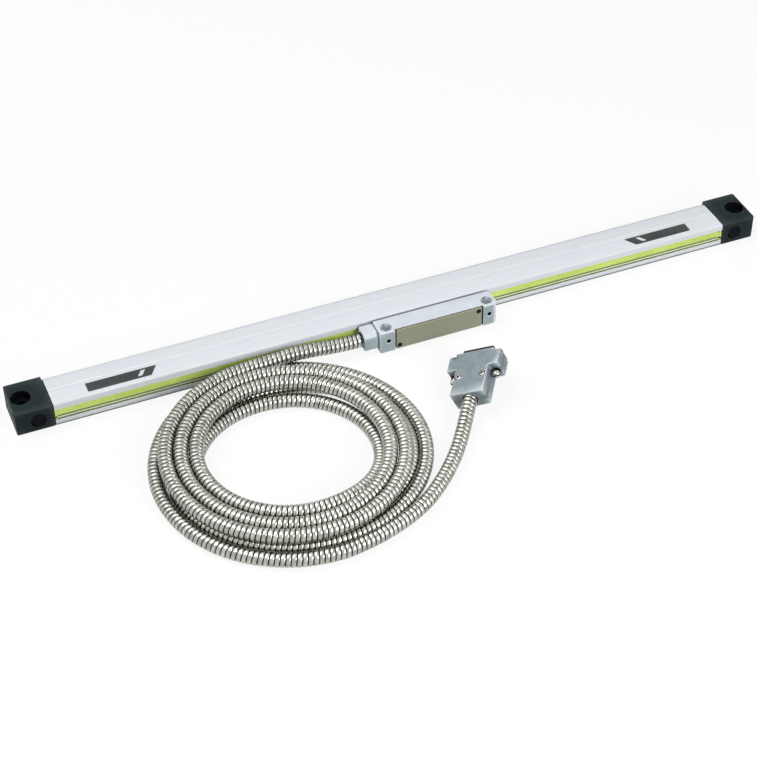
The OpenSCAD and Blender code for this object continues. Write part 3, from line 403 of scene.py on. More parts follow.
def new_material(name: str) -> tuple[Material, Tree, Node]:
    """Makes a node material, and gives it with its tree and its shader."""
    material = bpy.data.materials.new(name)
    material.use_nodes = True
    return material, material.node_tree, material.node_tree.nodes["Principled BSDF"]


class Shop:
    """Builds each shared shader group once and hands it out."""

    _groups: dict[str, Tree] = {}

    @classmethod
    def group(cls, name: str) -> Tree:
        """Gives a shader group by name, and builds it on first use."""
        if name not in cls._groups:
            cls._groups[name] = getattr(cls, "_" + name)()
        return cls._groups[name]

    @staticmethod
    def _tree(
        name: str, inputs: dict[str, float], outputs: Sequence[str]
    ) -> tuple[Tree, bpy.types.NodeInputs, Node]:
        """Makes an empty group that takes a place and some numbers.

        Args:
            name: Name of the group.
            inputs: Its numbers with their usual values.
            outputs: Names of what it gives.

        Returns:
            The group, what comes in, and the node that takes what goes out.
        """
        tree = bpy.data.node_groups.new(name, "ShaderNodeTree")
        tree.interface.new_socket("Vector", in_out="INPUT", socket_type="NodeSocketVector")
        for label, value in inputs.items():
            socket = tree.interface.new_socket(
                label, in_out="INPUT", socket_type="NodeSocketFloat"
            )
            socket.default_value = value
        for label in outputs:
            tree.interface.new_socket(label, in_out="OUTPUT", socket_type="NodeSocketFloat")
        inlet = tree.nodes.new("NodeGroupInput")
        return tree, inlet.outputs, tree.nodes.new("NodeGroupOutput")

    @classmethod
    def _mottle(cls) -> Tree:
        """Cloudy variation with fine speckle on it."""
        numbers = {"Coarse": 60.0, "Fine": 900.0, "Speckle": 0.35}
        tree, given, outlet = cls._tree("mottle", numbers, ["Value", "Grain"])
        coarse = noise(tree, given["Vector"], given["Coarse"], 3.0)
        fine = noise(tree, given["Vector"], given["Fine"])
        both = {"Factor": given["Speckle"], "A": coarse, "B": fine}
        mix = add_node(tree, "Mix", both, data_type="FLOAT")
        fill(outlet, {"Value": mix.outputs["Result"], "Grain": fine})
        return tree

    @classmethod
    def _drawn_lines(cls) -> Tree:
        """Fine lines along X, as a drawing die leaves them."""
        numbers = {"Stretch": 0.02, "Lines": 2200.0}
        tree, given, outlet = cls._tree("drawn_lines", numbers, ["Value"])
        parts = add_node(tree, "SeparateXYZ", {0: given["Vector"]}).outputs
        drawn = maths(tree, "MULTIPLY", parts["X"], given["Stretch"])
        place = add_node(tree, "CombineXYZ", {"X": drawn, "Y": parts["Y"], "Z": parts["Z"]})
        fill(outlet, {"Value": noise(tree, place.outputs[0], given["Lines"])})
        return tree

    @classmethod
    def _edge_wear_and_highlight(cls) -> Tree:
        """Mask of the edges for painted edge highlights and abrasion, broken up by noise."""
        numbers = {"Radius": 0.0004, "Amount": 1.0}
        tree, given, outlet = cls._tree("edge_wear_and_highlight", numbers, ["Mask"])
        rounded = add_node(tree, "Bevel", {"Radius": given["Radius"]}, samples=6)
        flat = add_node(tree, "NewGeometry").outputs["True Normal"]
        pair = {0: rounded.outputs["Normal"], 1: flat}
        turned = add_node(tree, "VectorMath", pair, operation="DOT_PRODUCT").outputs["Value"]
        spread = ranged(tree, turned, (0.996, 0.92))
        broken = ranged(tree, noise(tree, given["Vector"], 700.0), (0.2, 0.5))
        worn_and_lit = maths(tree, "MULTIPLY", spread, broken)
        fill(outlet, {"Mask": maths(tree, "MULTIPLY", worn_and_lit, given["Amount"])})
        return tree


class Texture(Enum):
    """How a finish varies over its surface."""

    MOTTLED = "mottle"
    DRAWN = "drawn_lines"


def srgb(red: float, green: float, blue: float) -> Colour:
    """Turns an 8-bit screen colour into a linear one."""

    def one(value: float) -> float:
        """Turns one channel."""
        value /= 255
        return value / 12.92 if value <= 0.04045 else ((value + 0.055) / 1.055) ** 2.4

    return one(red), one(green), one(blue)


class Look:
    """Anything that can give its material."""

    name: str

    def material(self) -> Material:
        """Gives the material, and builds it on first use."""
        known = bpy.data.materials.get(self.name)
        return known if known is not None else self._build()

    def _build(self) -> Material:
        """Builds the material."""
        raise NotImplementedError


@dataclass(frozen=True)
class Finish(Look):
    """A surface finish whose colour, gloss and relief vary over the piece."""

    name: str
    light: Colour
    dark: Colour
    roughness: tuple[float, float] = (0.4, 0.55)
    metallic: float = 0.0
    texture: Texture = Texture.MOTTLED
    coarse: float = 60.0
    fine: float = 900.0
    speckle: float = 0.35
    stretch: float = 0.02
    relief: float = 0.15
    relief_depth: float = 0.00004
    # edge: colour laid on the edges as a painted highlight that also stands for abrasion
    edge: Colour | None = None
    edge_radius: float = 0.0004
    edge_amount: float = 0.6
    seam_point: Triple = (0.0, 0.0, 0.0)
    seam_normal: Triple | None = None
    coat: float = 0.0
    coat_roughness: float = 0.15
    specular: float = 0.5
    subsurface: float = 0.0
    corner_shade: float = 0.0
    corner_reach: float = 0.004

    def _clear_of_seam(self, tree: Tree, place: Socket, mask: Socket) -> Socket:
        """Takes the painted edge highlight and abrasion away near the plane where two halves meet."""
        pair = {0: place, 1: self.seam_point}
        offset = add_node(tree, "VectorMath", pair, operation="SUBTRACT").outputs["Vector"]
        pair = {0: offset, 1: self.seam_normal}
        along = add_node(tree, "VectorMath", pair, operation="DOT_PRODUCT").outputs["Value"]
        away = maths(tree, "ABSOLUTE", along)
        kept = maths(tree, "GREATER_THAN", away, 2 * self.edge_radius)
        return maths(tree, "MULTIPLY", kept, mask)

    def _pattern(self, tree: Tree, place: Socket) -> tuple[Socket, Socket]:
        """Gives the pattern's tone and its height."""
        mottled = self.texture is Texture.MOTTLED
        numbers = (
            {"Coarse": self.coarse, "Fine": self.fine, "Speckle": self.speckle}
            if mottled
            else {"Stretch": self.stretch, "Lines": self.fine}
        )
        pattern = add_node(
            tree, "Group", {"Vector": place, **numbers}, node_tree=Shop.group(self.texture.value)
        )
        return pattern.outputs["Value"], pattern.outputs["Grain" if mottled else "Value"]

    def _build(self) -> Material:
        """Wires the finish up from the shared groups."""
        material, tree, shader = new_material(self.name)
        place = object_place(tree)
        tone, height = self._pattern(tree, place)
        colour = shaded(tree, tone, ((0.32, self.dark), (0.68, self.light)))
        # Painted highlight on the edges, which also stands for abrasion.
        if self.edge is not None:
            lit_and_worn_edges = add_node(
                tree,
                "Group",
                {"Vector": place, "Radius": self.edge_radius, "Amount": self.edge_amount},
                node_tree=Shop.group("edge_wear_and_highlight"),
            )
            mask = lit_and_worn_edges.outputs["Mask"]
            if self.seam_normal is not None:
                mask = self._clear_of_seam(tree, place, mask)
            colour = blended(tree, mask, colour, (*self.edge, 1))
        # Painted shade: darkens the colour towards black where ambient occlusion finds surfaces close
        # by.
        if self.corner_shade:
            hollow = add_node(tree, "AmbientOcclusion", {"Distance": self.corner_reach}, samples=4)
            depth = ranged(tree, hollow.outputs["AO"], (0.75, 0.35), (0.0, self.corner_shade))
            colour = blended(tree, depth, colour, (0.02, 0.02, 0.024, 1))
        relief = {"Strength": self.relief, "Distance": self.relief_depth, "Height": height}
        fill(
            shader,
            {
                "Base Color": colour,
                "Roughness": ranged(tree, tone, (0.3, 0.7), self.roughness),
                "Normal": add_node(tree, "Bump", relief).outputs["Normal"],
                "Metallic": self.metallic,
                "Specular IOR Level": self.specular,
                "Coat Weight": self.coat,
                "Coat Roughness": self.coat_roughness,
                "Subsurface Weight": self.subsurface,
            },
        )
        if self.subsurface:
            fill(shader, {"Subsurface Radius": (1.0, 1.0, 0.3), "Subsurface Scale": 0.0015})
        return material

    @staticmethod
    def overlay(material: Material, mask: Socket, colour: Colour) -> None:
        """Lays a colour over a material's own, where a mask says so."""
        tree = material.node_tree
        inlet = tree.nodes["Principled BSDF"].inputs["Base Color"]
        plain = inlet.links[0].from_socket
        tree.links.new(blended(tree, mask, plain, (*colour, 1)), inlet)


@dataclass(frozen=True)
class WoundSteel(Finish):
    """Wound steel strip with painted shade in the grooves between its turns."""

    groove: Colour = (0.02, 0.02, 0.015)

    def _build(self) -> Material:
        """Adds the painted shadow in the grooves to the plain finish."""
        material = super()._build()
        depth = add_node(material.node_tree, "Attribute", attribute_name="groove")
        self.overlay(material, depth.outputs["Fac"], self.groove)
        return material


@dataclass(frozen=True)
class RidgedAluminium(Finish):
    """Anodised aluminium with a painted highlight along the roof's ridge."""

    ridge_y: float = 0.5
    ridge_width: float = 0.75
    ridge_highlight: Colour = (0.93, 0.94, 0.95)
    ridge_highlight_amount: float = 0.4

    def _build(self) -> Material:
        """Adds the painted ridge highlight line to the plain finish."""
        material = super()._build()
        tree = material.node_tree
        across = add_node(tree, "SeparateXYZ", {0: object_place(tree)}).outputs["Y"]
        away = maths(tree, "ABSOLUTE", maths(tree, "SUBTRACT", across, self.ridge_y * MM))
        width = self.ridge_width * MM
        # Painted highlight along the ridge, strongest on its line.
        near = ranged(tree, away, (width, width * 0.3), (0.0, self.ridge_highlight_amount))
        self.overlay(material, near, self.ridge_highlight)
        return material


@dataclass(frozen=True)
class ClearGlass(Look):
    """Polished glass with a faint tint."""

    name: str
    tint: Colour
    roughness: float = 0.02

    def _build(self) -> Material:
        """Wires the glass up."""
        material, tree, shader = new_material(self.name)
        cloud = noise(tree, object_place(tree), 40.0)
        deeper = tuple(channel * 0.94 for channel in self.tint)
        inputs = {
            "Base Color": shaded(tree, cloud, ((0.0, deeper), (1.0, self.tint))),
            "Roughness": self.roughness,
            "Transmission Weight": 1.0,
            "IOR": 1.52,
        }
        fill(shader, inputs)
        return material


@dataclass(frozen=True)
class Graduations(Look):
    """Chromium lines across the track at a fixed pitch."""

    name: str
    pitch: float
    line: Colour
    gap: Colour

    def _build(self) -> Material:
        """Wires the lines up."""
        material, tree, shader = new_material(self.name)
        along = add_node(tree, "SeparateXYZ", {0: object_place(tree)}).outputs["X"]
        turns = maths(tree, "MULTIPLY", along, 2 * math.pi / (self.pitch * MM))
        wave = maths(tree, "SINE", turns)
        lines = shaded(tree, wave, ((0.0, self.gap), (0.5, self.line)), "CONSTANT")
        fill(shader, {"Base Color": lines, "Metallic": 1.0, "Roughness": 0.15})
        return material


# ---------------------------------------------------------------- finishes

ANODISED = RidgedAluminium(
    "satin_anodised_extrusion", srgb(220, 224, 229), srgb(210, 214, 220),
    roughness=(0.48, 0.6), corner_shade=0.75, specular=0.35, texture=Texture.DRAWN, fine=1800.0,
    relief=0.12, relief_depth=0.00002, edge=srgb(246, 249, 252), edge_amount=0.8,
)
CAST_BLACK = Finish(
    "black_cap_casting", srgb(23, 38, 39), srgb(12, 23, 25),
    roughness=(0.42, 0.6), fine=1400.0, relief=0.35, relief_depth=0.00005,
    edge=srgb(112, 124, 126), edge_radius=0.0006, edge_amount=0.55, specular=0.12,
)
# Painted shade for the insides of holes, seats, slots and gaps.
BORE_SHADE = Finish(
    "painted_bore_shade", srgb(14, 15, 22), srgb(7, 8, 13),
    roughness=(0.6, 0.75), relief=0.1, specular=0.06,
)
LIME = Finish(
    "lime_seal_elastomer", srgb(204, 226, 116), srgb(180, 205, 88),
    roughness=(0.22, 0.32), coarse=40.0, fine=500.0, speckle=0.2, relief=0.06, coat=0.3,
    subsurface=0.15, corner_shade=0.45, corner_reach=0.003,
)
# Painted light: a paler copy of the lime seal for the lower lip, which faces up into the light.
LIT_LIME = Finish(
    "lit_lime_seal_elastomer", srgb(234, 241, 208), srgb(214, 225, 178),
    roughness=(0.3, 0.42), coarse=40.0, fine=500.0, speckle=0.2, relief=0.06,
)
SEAL_SHADE = Finish(
    "shaded_seal_root", srgb(142, 158, 98), srgb(120, 136, 80),
    roughness=(0.5, 0.62), relief=0.06, specular=0.2,
)
FOOT_SHADE = Finish(
    "shaded_housing_foot", srgb(124, 128, 128), srgb(104, 108, 108),
    roughness=(0.5, 0.62), metallic=0.2, relief=0.1, specular=0.2,
)
RUBBER = Finish(
    "black_rubber", srgb(34, 35, 36), srgb(20, 21, 22),
    roughness=(0.6, 0.8), relief=0.3, specular=0.25,
)
LABEL_FILM = Finish(
    "grey_label_film", srgb(60, 68, 66), srgb(46, 52, 51),
    roughness=(0.4, 0.5), fine=1600.0, relief=0.05, edge=srgb(112, 120, 117),
    edge_radius=0.0002, edge_amount=0.35, specular=0.2,
)
LABEL_MARK = Finish(
    "pale_label_print", srgb(214, 218, 218), srgb(196, 201, 201), roughness=(0.4, 0.5), relief=0.03
)
HEAD_COAT = Finish(
    "pale_head_coating", srgb(216, 221, 228), srgb(199, 205, 213),
    roughness=(0.44, 0.56), corner_shade=0.6, specular=0.35, fine=1500.0, relief=0.35,
    relief_depth=0.00005, edge=srgb(240, 243, 247), edge_radius=0.0005, edge_amount=0.8,
)
# Painted shade: a darker copy of the head's coating for its front faces.
HEAD_FRONT_SHADE = Finish(
    "shaded_head_front", srgb(166, 180, 183), srgb(142, 157, 160),
    roughness=(0.38, 0.52), metallic=0.25, fine=1500.0, relief=0.35, relief_depth=0.00005,
    edge=srgb(232, 238, 241), edge_radius=0.0005, edge_amount=0.7,
)
OLIVE_PLATE = Finish(
    "olive_cover_plate", srgb(150, 151, 131), srgb(134, 135, 115),
    roughness=(0.42, 0.55), metallic=0.3, coarse=260.0, fine=1900.0, speckle=0.7, relief=0.3,
    edge=srgb(182, 183, 164), edge_radius=0.0003, edge_amount=0.5,
)
BLACK_STEEL = Finish(
    "blackened_screw_steel", srgb(20, 20, 20), srgb(9, 9, 9),
    roughness=(0.34, 0.48), metallic=0.3, relief=0.1, edge=srgb(90, 90, 88), edge_radius=0.0002,
    edge_amount=0.4, specular=0.2,
)
BRIGHT_STEEL = Finish(
    "bright_machined_steel", srgb(206, 204, 200), srgb(160, 158, 154),
    roughness=(0.2, 0.34), metallic=1.0, relief=0.1, edge=srgb(240, 240, 238),
    edge_radius=0.0002, edge_amount=0.4,
)
BRASSY_STEEL = Finish(
    "yellow_passivated_steel", srgb(224, 224, 212), srgb(148, 148, 136),
    roughness=(0.2, 0.34), metallic=1.0, relief=0.1, edge=srgb(248, 246, 238),
    edge_radius=0.0002, edge_amount=0.4,
)
CONDUIT_STEEL = WoundSteel(
    "wound_conduit_strip", srgb(211, 212, 204), srgb(144, 145, 137),
    roughness=(0.16, 0.34), metallic=1.0, coarse=260.0, fine=1800.0, relief=0.1,
)
RING_BLACK = Finish(
    "black_crimp_ring", srgb(36, 38, 38), srgb(20, 22, 22),
    roughness=(0.38, 0.52), metallic=0.2, edge=srgb(100, 102, 102), specular=0.2,
)
MOULDED_BLACK = Finish(
    "black_moulding", srgb(32, 32, 34), srgb(20, 20, 22),
    roughness=(0.4, 0.55), relief=0.15, specular=0.2,
)
HOOD_COAT = Finish(
    "metallised_hood", srgb(144, 157, 162), srgb(111, 125, 130),
    roughness=(0.46, 0.6), metallic=0.3, coarse=120.0, fine=1300.0, speckle=0.55, relief=0.5,
    relief_depth=0.00008, edge=srgb(246, 249, 251), edge_radius=0.0009, edge_amount=1.0,
)
# Painted shade: a darker copy of the hood's coat for its upright sides.
HOOD_SIDE_SHADE = replace(
    HOOD_COAT, name="shaded_metallised_hood_side", light=srgb(126, 138, 143), dark=srgb(98, 111, 116)
)
SHELL_ZINC = Finish(
    "black_zinc_shell", srgb(26, 27, 26), srgb(10, 11, 11),
    roughness=(0.28, 0.42), metallic=0.2, specular=0.25, relief=0.1, edge=srgb(90, 92, 90),
    edge_radius=0.0002, edge_amount=0.4,
)
GILT = Finish(
    "gilt_contact", srgb(226, 188, 104), srgb(196, 156, 76),
    roughness=(0.18, 0.28), metallic=1.0, relief=0.05,
)
BOARD = Finish(
    "green_board_laminate", srgb(34, 94, 58), srgb(22, 70, 42),
    roughness=(0.3, 0.42), fine=700.0, relief=0.2,
)
AMBER_FILM = Finish(
    "amber_film_lead", srgb(204, 142, 56), srgb(178, 116, 40), roughness=(0.2, 0.3), coat=0.3
)
CARRIAGE_CAST = Finish(
    "carriage_casting", srgb(156, 158, 162), srgb(128, 130, 134),
    roughness=(0.38, 0.52), metallic=0.8, relief=0.25, edge=srgb(200, 202, 206),
)
LAMP_BODY = Finish(
    "clear_lamp_body", srgb(226, 228, 222), srgb(208, 210, 204), roughness=(0.1, 0.18), coat=0.5
)
GLASS = ClearGlass("scale_glass", (0.93, 0.98, 0.96))
TRACK = Graduations("chromium_graduations", 0.4, srgb(190, 190, 186), srgb(70, 72, 70))


# ---------------------------------------------------------------- studio


@dataclass
class Studio:
    """Floor, backdrop, lamps and camera."""

    lens_mm: float = 91.83
    eye: Triple = (-423.6, -1019.2, 917.2)
    right: Triple = (0.92525, -0.37924, -0.00901)
    up: Triple = (0.25776, 0.61107, 0.74845)
    floor_seen: float = 0.92
    floor_bounce: float = 0.5
    shadow_kept: float = 0.14
    sky: float = 0.22

    def set_camera(self) -> None:
        """Places the camera at the product view."""
        lens = bpy.data.cameras.new("camera")
        lens.lens, lens.sensor_width = self.lens_mm, 36.0
        lens.clip_start, lens.clip_end = 0.01, 20.0
        camera = bpy.data.objects.new("camera", lens)
        right, up = Vector(self.right), Vector(self.up)
        turn = Matrix((right, up, right.cross(up))).transposed()
        camera.matrix_world = Matrix.Translation(metres(self.eye)) @ (
            turn.to_quaternion().normalized().to_matrix().to_4x4()
        )
        bpy.context.scene.collection.objects.link(camera)
        bpy.context.scene.camera = camera

    @staticmethod
    def seen_share(tree: Tree) -> Socket:
        """Gives 1 for what the camera, a gloss or a glass sees, and 0 for other light."""
        ray = add_node(tree, "LightPath").outputs
        share = ray["Is Camera Ray"]
        for kind in ("Is Glossy Ray", "Is Transmission Ray"):
            share = maths(tree, "MAXIMUM", share, ray[kind])
        return share

    def lay_floor(self) -> None:
        """Lays a pale floor that keeps the object's shadow."""
        release()
        bpy.ops.mesh.primitive_plane_add(size=12)
        floor = added("floor")
        with editing(floor, "FACE"):
            bpy.ops.mesh.select_all(action="SELECT")
            bpy.ops.mesh.subdivide(number_cuts=3)
        material, tree, shader = new_material("pale_floor")
        tree.nodes.remove(shader)
        seen = self.seen_share(tree)
        bounce, shown = ((*[value] * 3, 1) for value in (self.floor_bounce, self.floor_seen))
        paint = add_node(tree, "BsdfDiffuse", {"Color": blended(tree, seen, bounce, shown)})
        glow = add_node(tree, "Emission", {"Color": (1, 1, 1, 1)})
        share = maths(tree, "MULTIPLY", seen, 1 - self.shadow_kept)
        layers = {0: share, 1: paint.outputs[0], 2: glow.outputs[0]}
        blend = add_node(tree, "MixShader", layers)
        fill(tree.nodes["Material Output"], {"Surface": blend.outputs[0]})
        floor.data.materials.append(material)

    def light(self) -> None:
        """Sets the world's light and the soft lamps."""
        scene = bpy.context.scene
        scene.view_settings.view_transform = "Standard"
        world = bpy.data.worlds.new("white_studio")
        scene.world = world
        world.use_nodes = True
        tree = world.node_tree
        soft = tree.nodes["Background"]
        fill(soft, {"Color": (1, 1, 1, 1), "Strength": self.sky})
        seen = add_node(tree, "Background", {"Color": (1, 1, 1, 1), "Strength": 1.0})
        layers = {0: self.seen_share(tree), 1: soft.outputs[0], 2: seen.outputs[0]}
        blend = add_node(tree, "MixShader", layers)
        fill(tree.nodes["World Output"], {"Surface": blend.outputs[0]})
        for name, place, aim, size, watts in (
            ("overhead_softbox", (-0.8, 0.4, 1.5), (0, -0.05, 0), 1.3, 21.0),
            ("front_softbox", (0.3, -0.95, 0.6), (0.05, 0, 0), 0.5, 9.2),
        ):
            lamp = bpy.data.lights.new(name, "AREA")
            lamp.shape, lamp.size, lamp.energy = "SQUARE", size, watts
            holder = bpy.data.objects.new(name, lamp)
            holder.location = place
            way = Vector(aim) - Vector(place)
            holder.rotation_euler = way.to_track_quat("-Z", "Y").to_euler()
            scene.collection.objects.link(holder)


# ---------------------------------------------------------------- armoured cable


def through(before: Any, here: Any, then: Any, after: Any, part: float) -> Any:
    """Gives a value between two neighbours on a smooth curve through four.

    Args:
        before: Value or point before the span.
        here: Value or point where the span starts.
        then: Value or point where the span ends.
        after: Value or point after the span.
        part: Share of the span, from 0 to 1.

    Returns:
        The value or point at that share.
    """
    return 0.5 * (
        2 * here
        + (then - before) * part
        + (2 * before - 5 * here + 4 * then - after) * part**2
        + (3 * here - before - 3 * then + after) * part**3
    )


@dataclass
class ArmouredCable:
    """The strip-wound conduit from the head to the plug, with its coil."""

    diameter: float = 10.5
    pitch: float = 3.5
    sides: int = 18
    coil_centre: tuple[float, float] = (-126.5, -117.5)
    upper_z: float = 15.45
    floor_z: float = 5.3
    upper_radii: tuple[float, ...] = (89, 84.5, 81.6, 76.9, 78.4, 73.9, 71, 66.3, 67.7, 63.5, 60.3)
    floor_radii: tuple[float, ...] = (61, 60, 67, 71.5, 82.8, 71.5, 82.4, 82.9, 93.5, 93, 93, 93.5)
    lead: tuple[Triple, ...] = (
        (-35, -24.8, 10), (-41, -24.8, 10), (-47, -24.8, 10), (-62, -25, 11.2),
        (-76, -25.3, 13.2), (-90, -26, 14.9), (-104, -27.2, 15.4), (-116, -28.1, 15.45),
    )
    tail: tuple[Triple, ...] = (
        (-106, -208.5, 5.3), (-92, -205, 5.3), (-74, -198.5, 5.3), (-56, -188.5, 5.3),
        (-38, -173.5, 5.3), (-22, -156.5, 5.9), (-9, -139.5, 8.2),
    )
    # Each row: share of the pitch, radius, and painted groove shade from 0 to 1.
    strip: tuple[tuple[float, float, float], ...] = (
        (0.0, 4.2, 1.0), (0.1, 4.75, 0.9), (0.19, 5.15, 0.08), (0.78, 5.25, 0.0),
        (0.93, 5.05, 0.55),
    )

    def coil_point(self, quarter: float) -> Vector:
        """Gives the coil's centreline point, counted in quarter turns from the head's side."""
        radii = self.upper_radii + self.floor_radii
        last = len(radii) - 1
        step = min(int(quarter), last - 1)
        part = quarter - step
        before, here, then, after = (
            radii[max(0, min(last, step + shift))] for shift in (-1, 0, 1, 2)
        )
        radius = through(before, here, then, after, part)
        drop = min(1.0, max(0.0, quarter - (len(self.upper_radii) - 1)))
        drop = drop * drop * (3 - 2 * drop)
        angle = math.radians(90 * (quarter + 1))
        return Vector(
            (
                self.coil_centre[0] + radius * math.cos(angle),
                self.coil_centre[1] + radius * math.sin(angle),
                self.upper_z + (self.floor_z - self.upper_z) * drop,
            )
        )

    def route(self, plug_end: Sequence[Vector]) -> list[Vector]:
        """Lists the given points of the whole route in millimetres."""
        quarters = len(self.upper_radii) + len(self.floor_radii) - 1
        coil = [self.coil_point(step / 6) for step in range(quarters * 6 + 1)]
        return [
            *(Vector(point) for point in self.lead),
            *coil,
            *(Vector(point) for point in self.tail),
            *plug_end,
        ]

    @staticmethod
    def curve(points: Sequence[Vector], spans: int = 6) -> np.ndarray:
        """Runs a smooth curve through the points.

        Args:
            points: Points in millimetres.
            spans: Samples between two points.

        Returns:
            The samples, one row each.
        """
        table = np.array([tuple(point) for point in points])
        count = len(table)
        rows = []
        for index in range(count - 1):
            before, here = table[max(index - 1, 0)], table[index]
            then, after = table[index + 1], table[min(index + 2, count - 1)]
            for step in range(spans):
                part = step / spans
                rows.append(through(before, here, then, after, part))
        rows.append(table[-1])
        return np.array(rows)

    def wound_mesh(self, line: np.ndarray) -> bpy.types.Mesh:
        """Winds the strip round the centreline as one continuous helix."""
        gaps = np.linalg.norm(np.diff(line, axis=0), axis=1)
        along = np.concatenate([[0.0], np.cumsum(gaps)])
        total = along[-1]
        ahead = np.gradient(line, axis=0)
        ahead /= np.linalg.norm(ahead, axis=1)[:, None]
        side = np.cross(np.array([0.0, 0.0, 1.0]), ahead)
        side /= np.linalg.norm(side, axis=1)[:, None]
        over = np.cross(ahead, side)
        offsets = np.array([row[0] for row in self.strip])
        radii = np.array([row[1] for row in self.strip])
        shade = np.array([row[2] for row in self.strip])
        parts, sides = len(self.strip), self.sides
        turns = int(total / self.pitch) + 3
        steps = np.arange(turns * sides + 1)
        place = self.pitch * (steps[:, None] / sides - 1 + offsets[None, :])
        place = np.clip(place, 0, total).ravel()
        angle = np.repeat(2 * np.pi * steps / sides, parts)
        reach = np.tile(radii, len(steps))
        sample = [
            np.stack([np.interp(place, along, table[:, axis]) for axis in range(3)], 1)
            for table in (line, side, over)
        ]
        verts = sample[0] + reach[:, None] * (
            np.cos(angle)[:, None] * sample[2] + np.sin(angle)[:, None] * sample[1]
        )
        grid = np.arange(len(steps) * parts).reshape(len(steps), parts)
        faces = []
        for part in range(parts):
            if part < parts - 1:
                here, then = grid[:-1], grid[1:]
                quads = np.stack(
                    [here[:, part], here[:, part + 1], then[:, part + 1], then[:, part]], 1
                )
            else:
                near, far = grid[: -sides - 1], grid[sides:-1]
                quads = np.stack(
                    [near[:, part], far[:, 0], grid[sides + 1 :, 0], grid[1:-sides, part]], 1
                )
            faces.append(quads)
        mesh = bpy.data.meshes.new("conduit")
        mesh.from_pydata((verts * MM).tolist(), [], np.concatenate(faces).tolist())
        # The groove attribute carries the painted shade between the turns.
        tone = mesh.attributes.new("groove", "FLOAT", "POINT")
        tone.data.foreach_set("value", np.tile(shade, len(steps)).astype(np.float32))
        return mesh

    def make(self, plug_end: Sequence[Vector]) -> Piece:
        """Args:
            plug_end: Last points of the route, inside the plug's entry.

        Returns:
            The conduit.
        """
        line = self.curve(self.route(plug_end))
        mesh = self.wound_mesh(line)
        piece = bpy.data.objects.new("conduit", mesh)
        bpy.context.scene.collection.objects.link(piece)
        with editing(piece, "VERT"):
            bpy.ops.mesh.select_all(action="SELECT")
            bpy.ops.mesh.remove_doubles(threshold=0.00002)
            bpy.ops.mesh.select_all(action="DESELECT")
            bpy.ops.mesh.select_non_manifold()
            bpy.ops.mesh.fill()
            bpy.ops.mesh.select_all(action="SELECT")
            bpy.ops.mesh.normals_make_consistent(inside=False)
        dress(
            piece,
            CONDUIT_STEEL,
            "head",
            ["conduit_lead", "conduit_coil", "conduit_tail"],
            angle=70,
        )
        return piece


# ---------------------------------------------------------------- plug


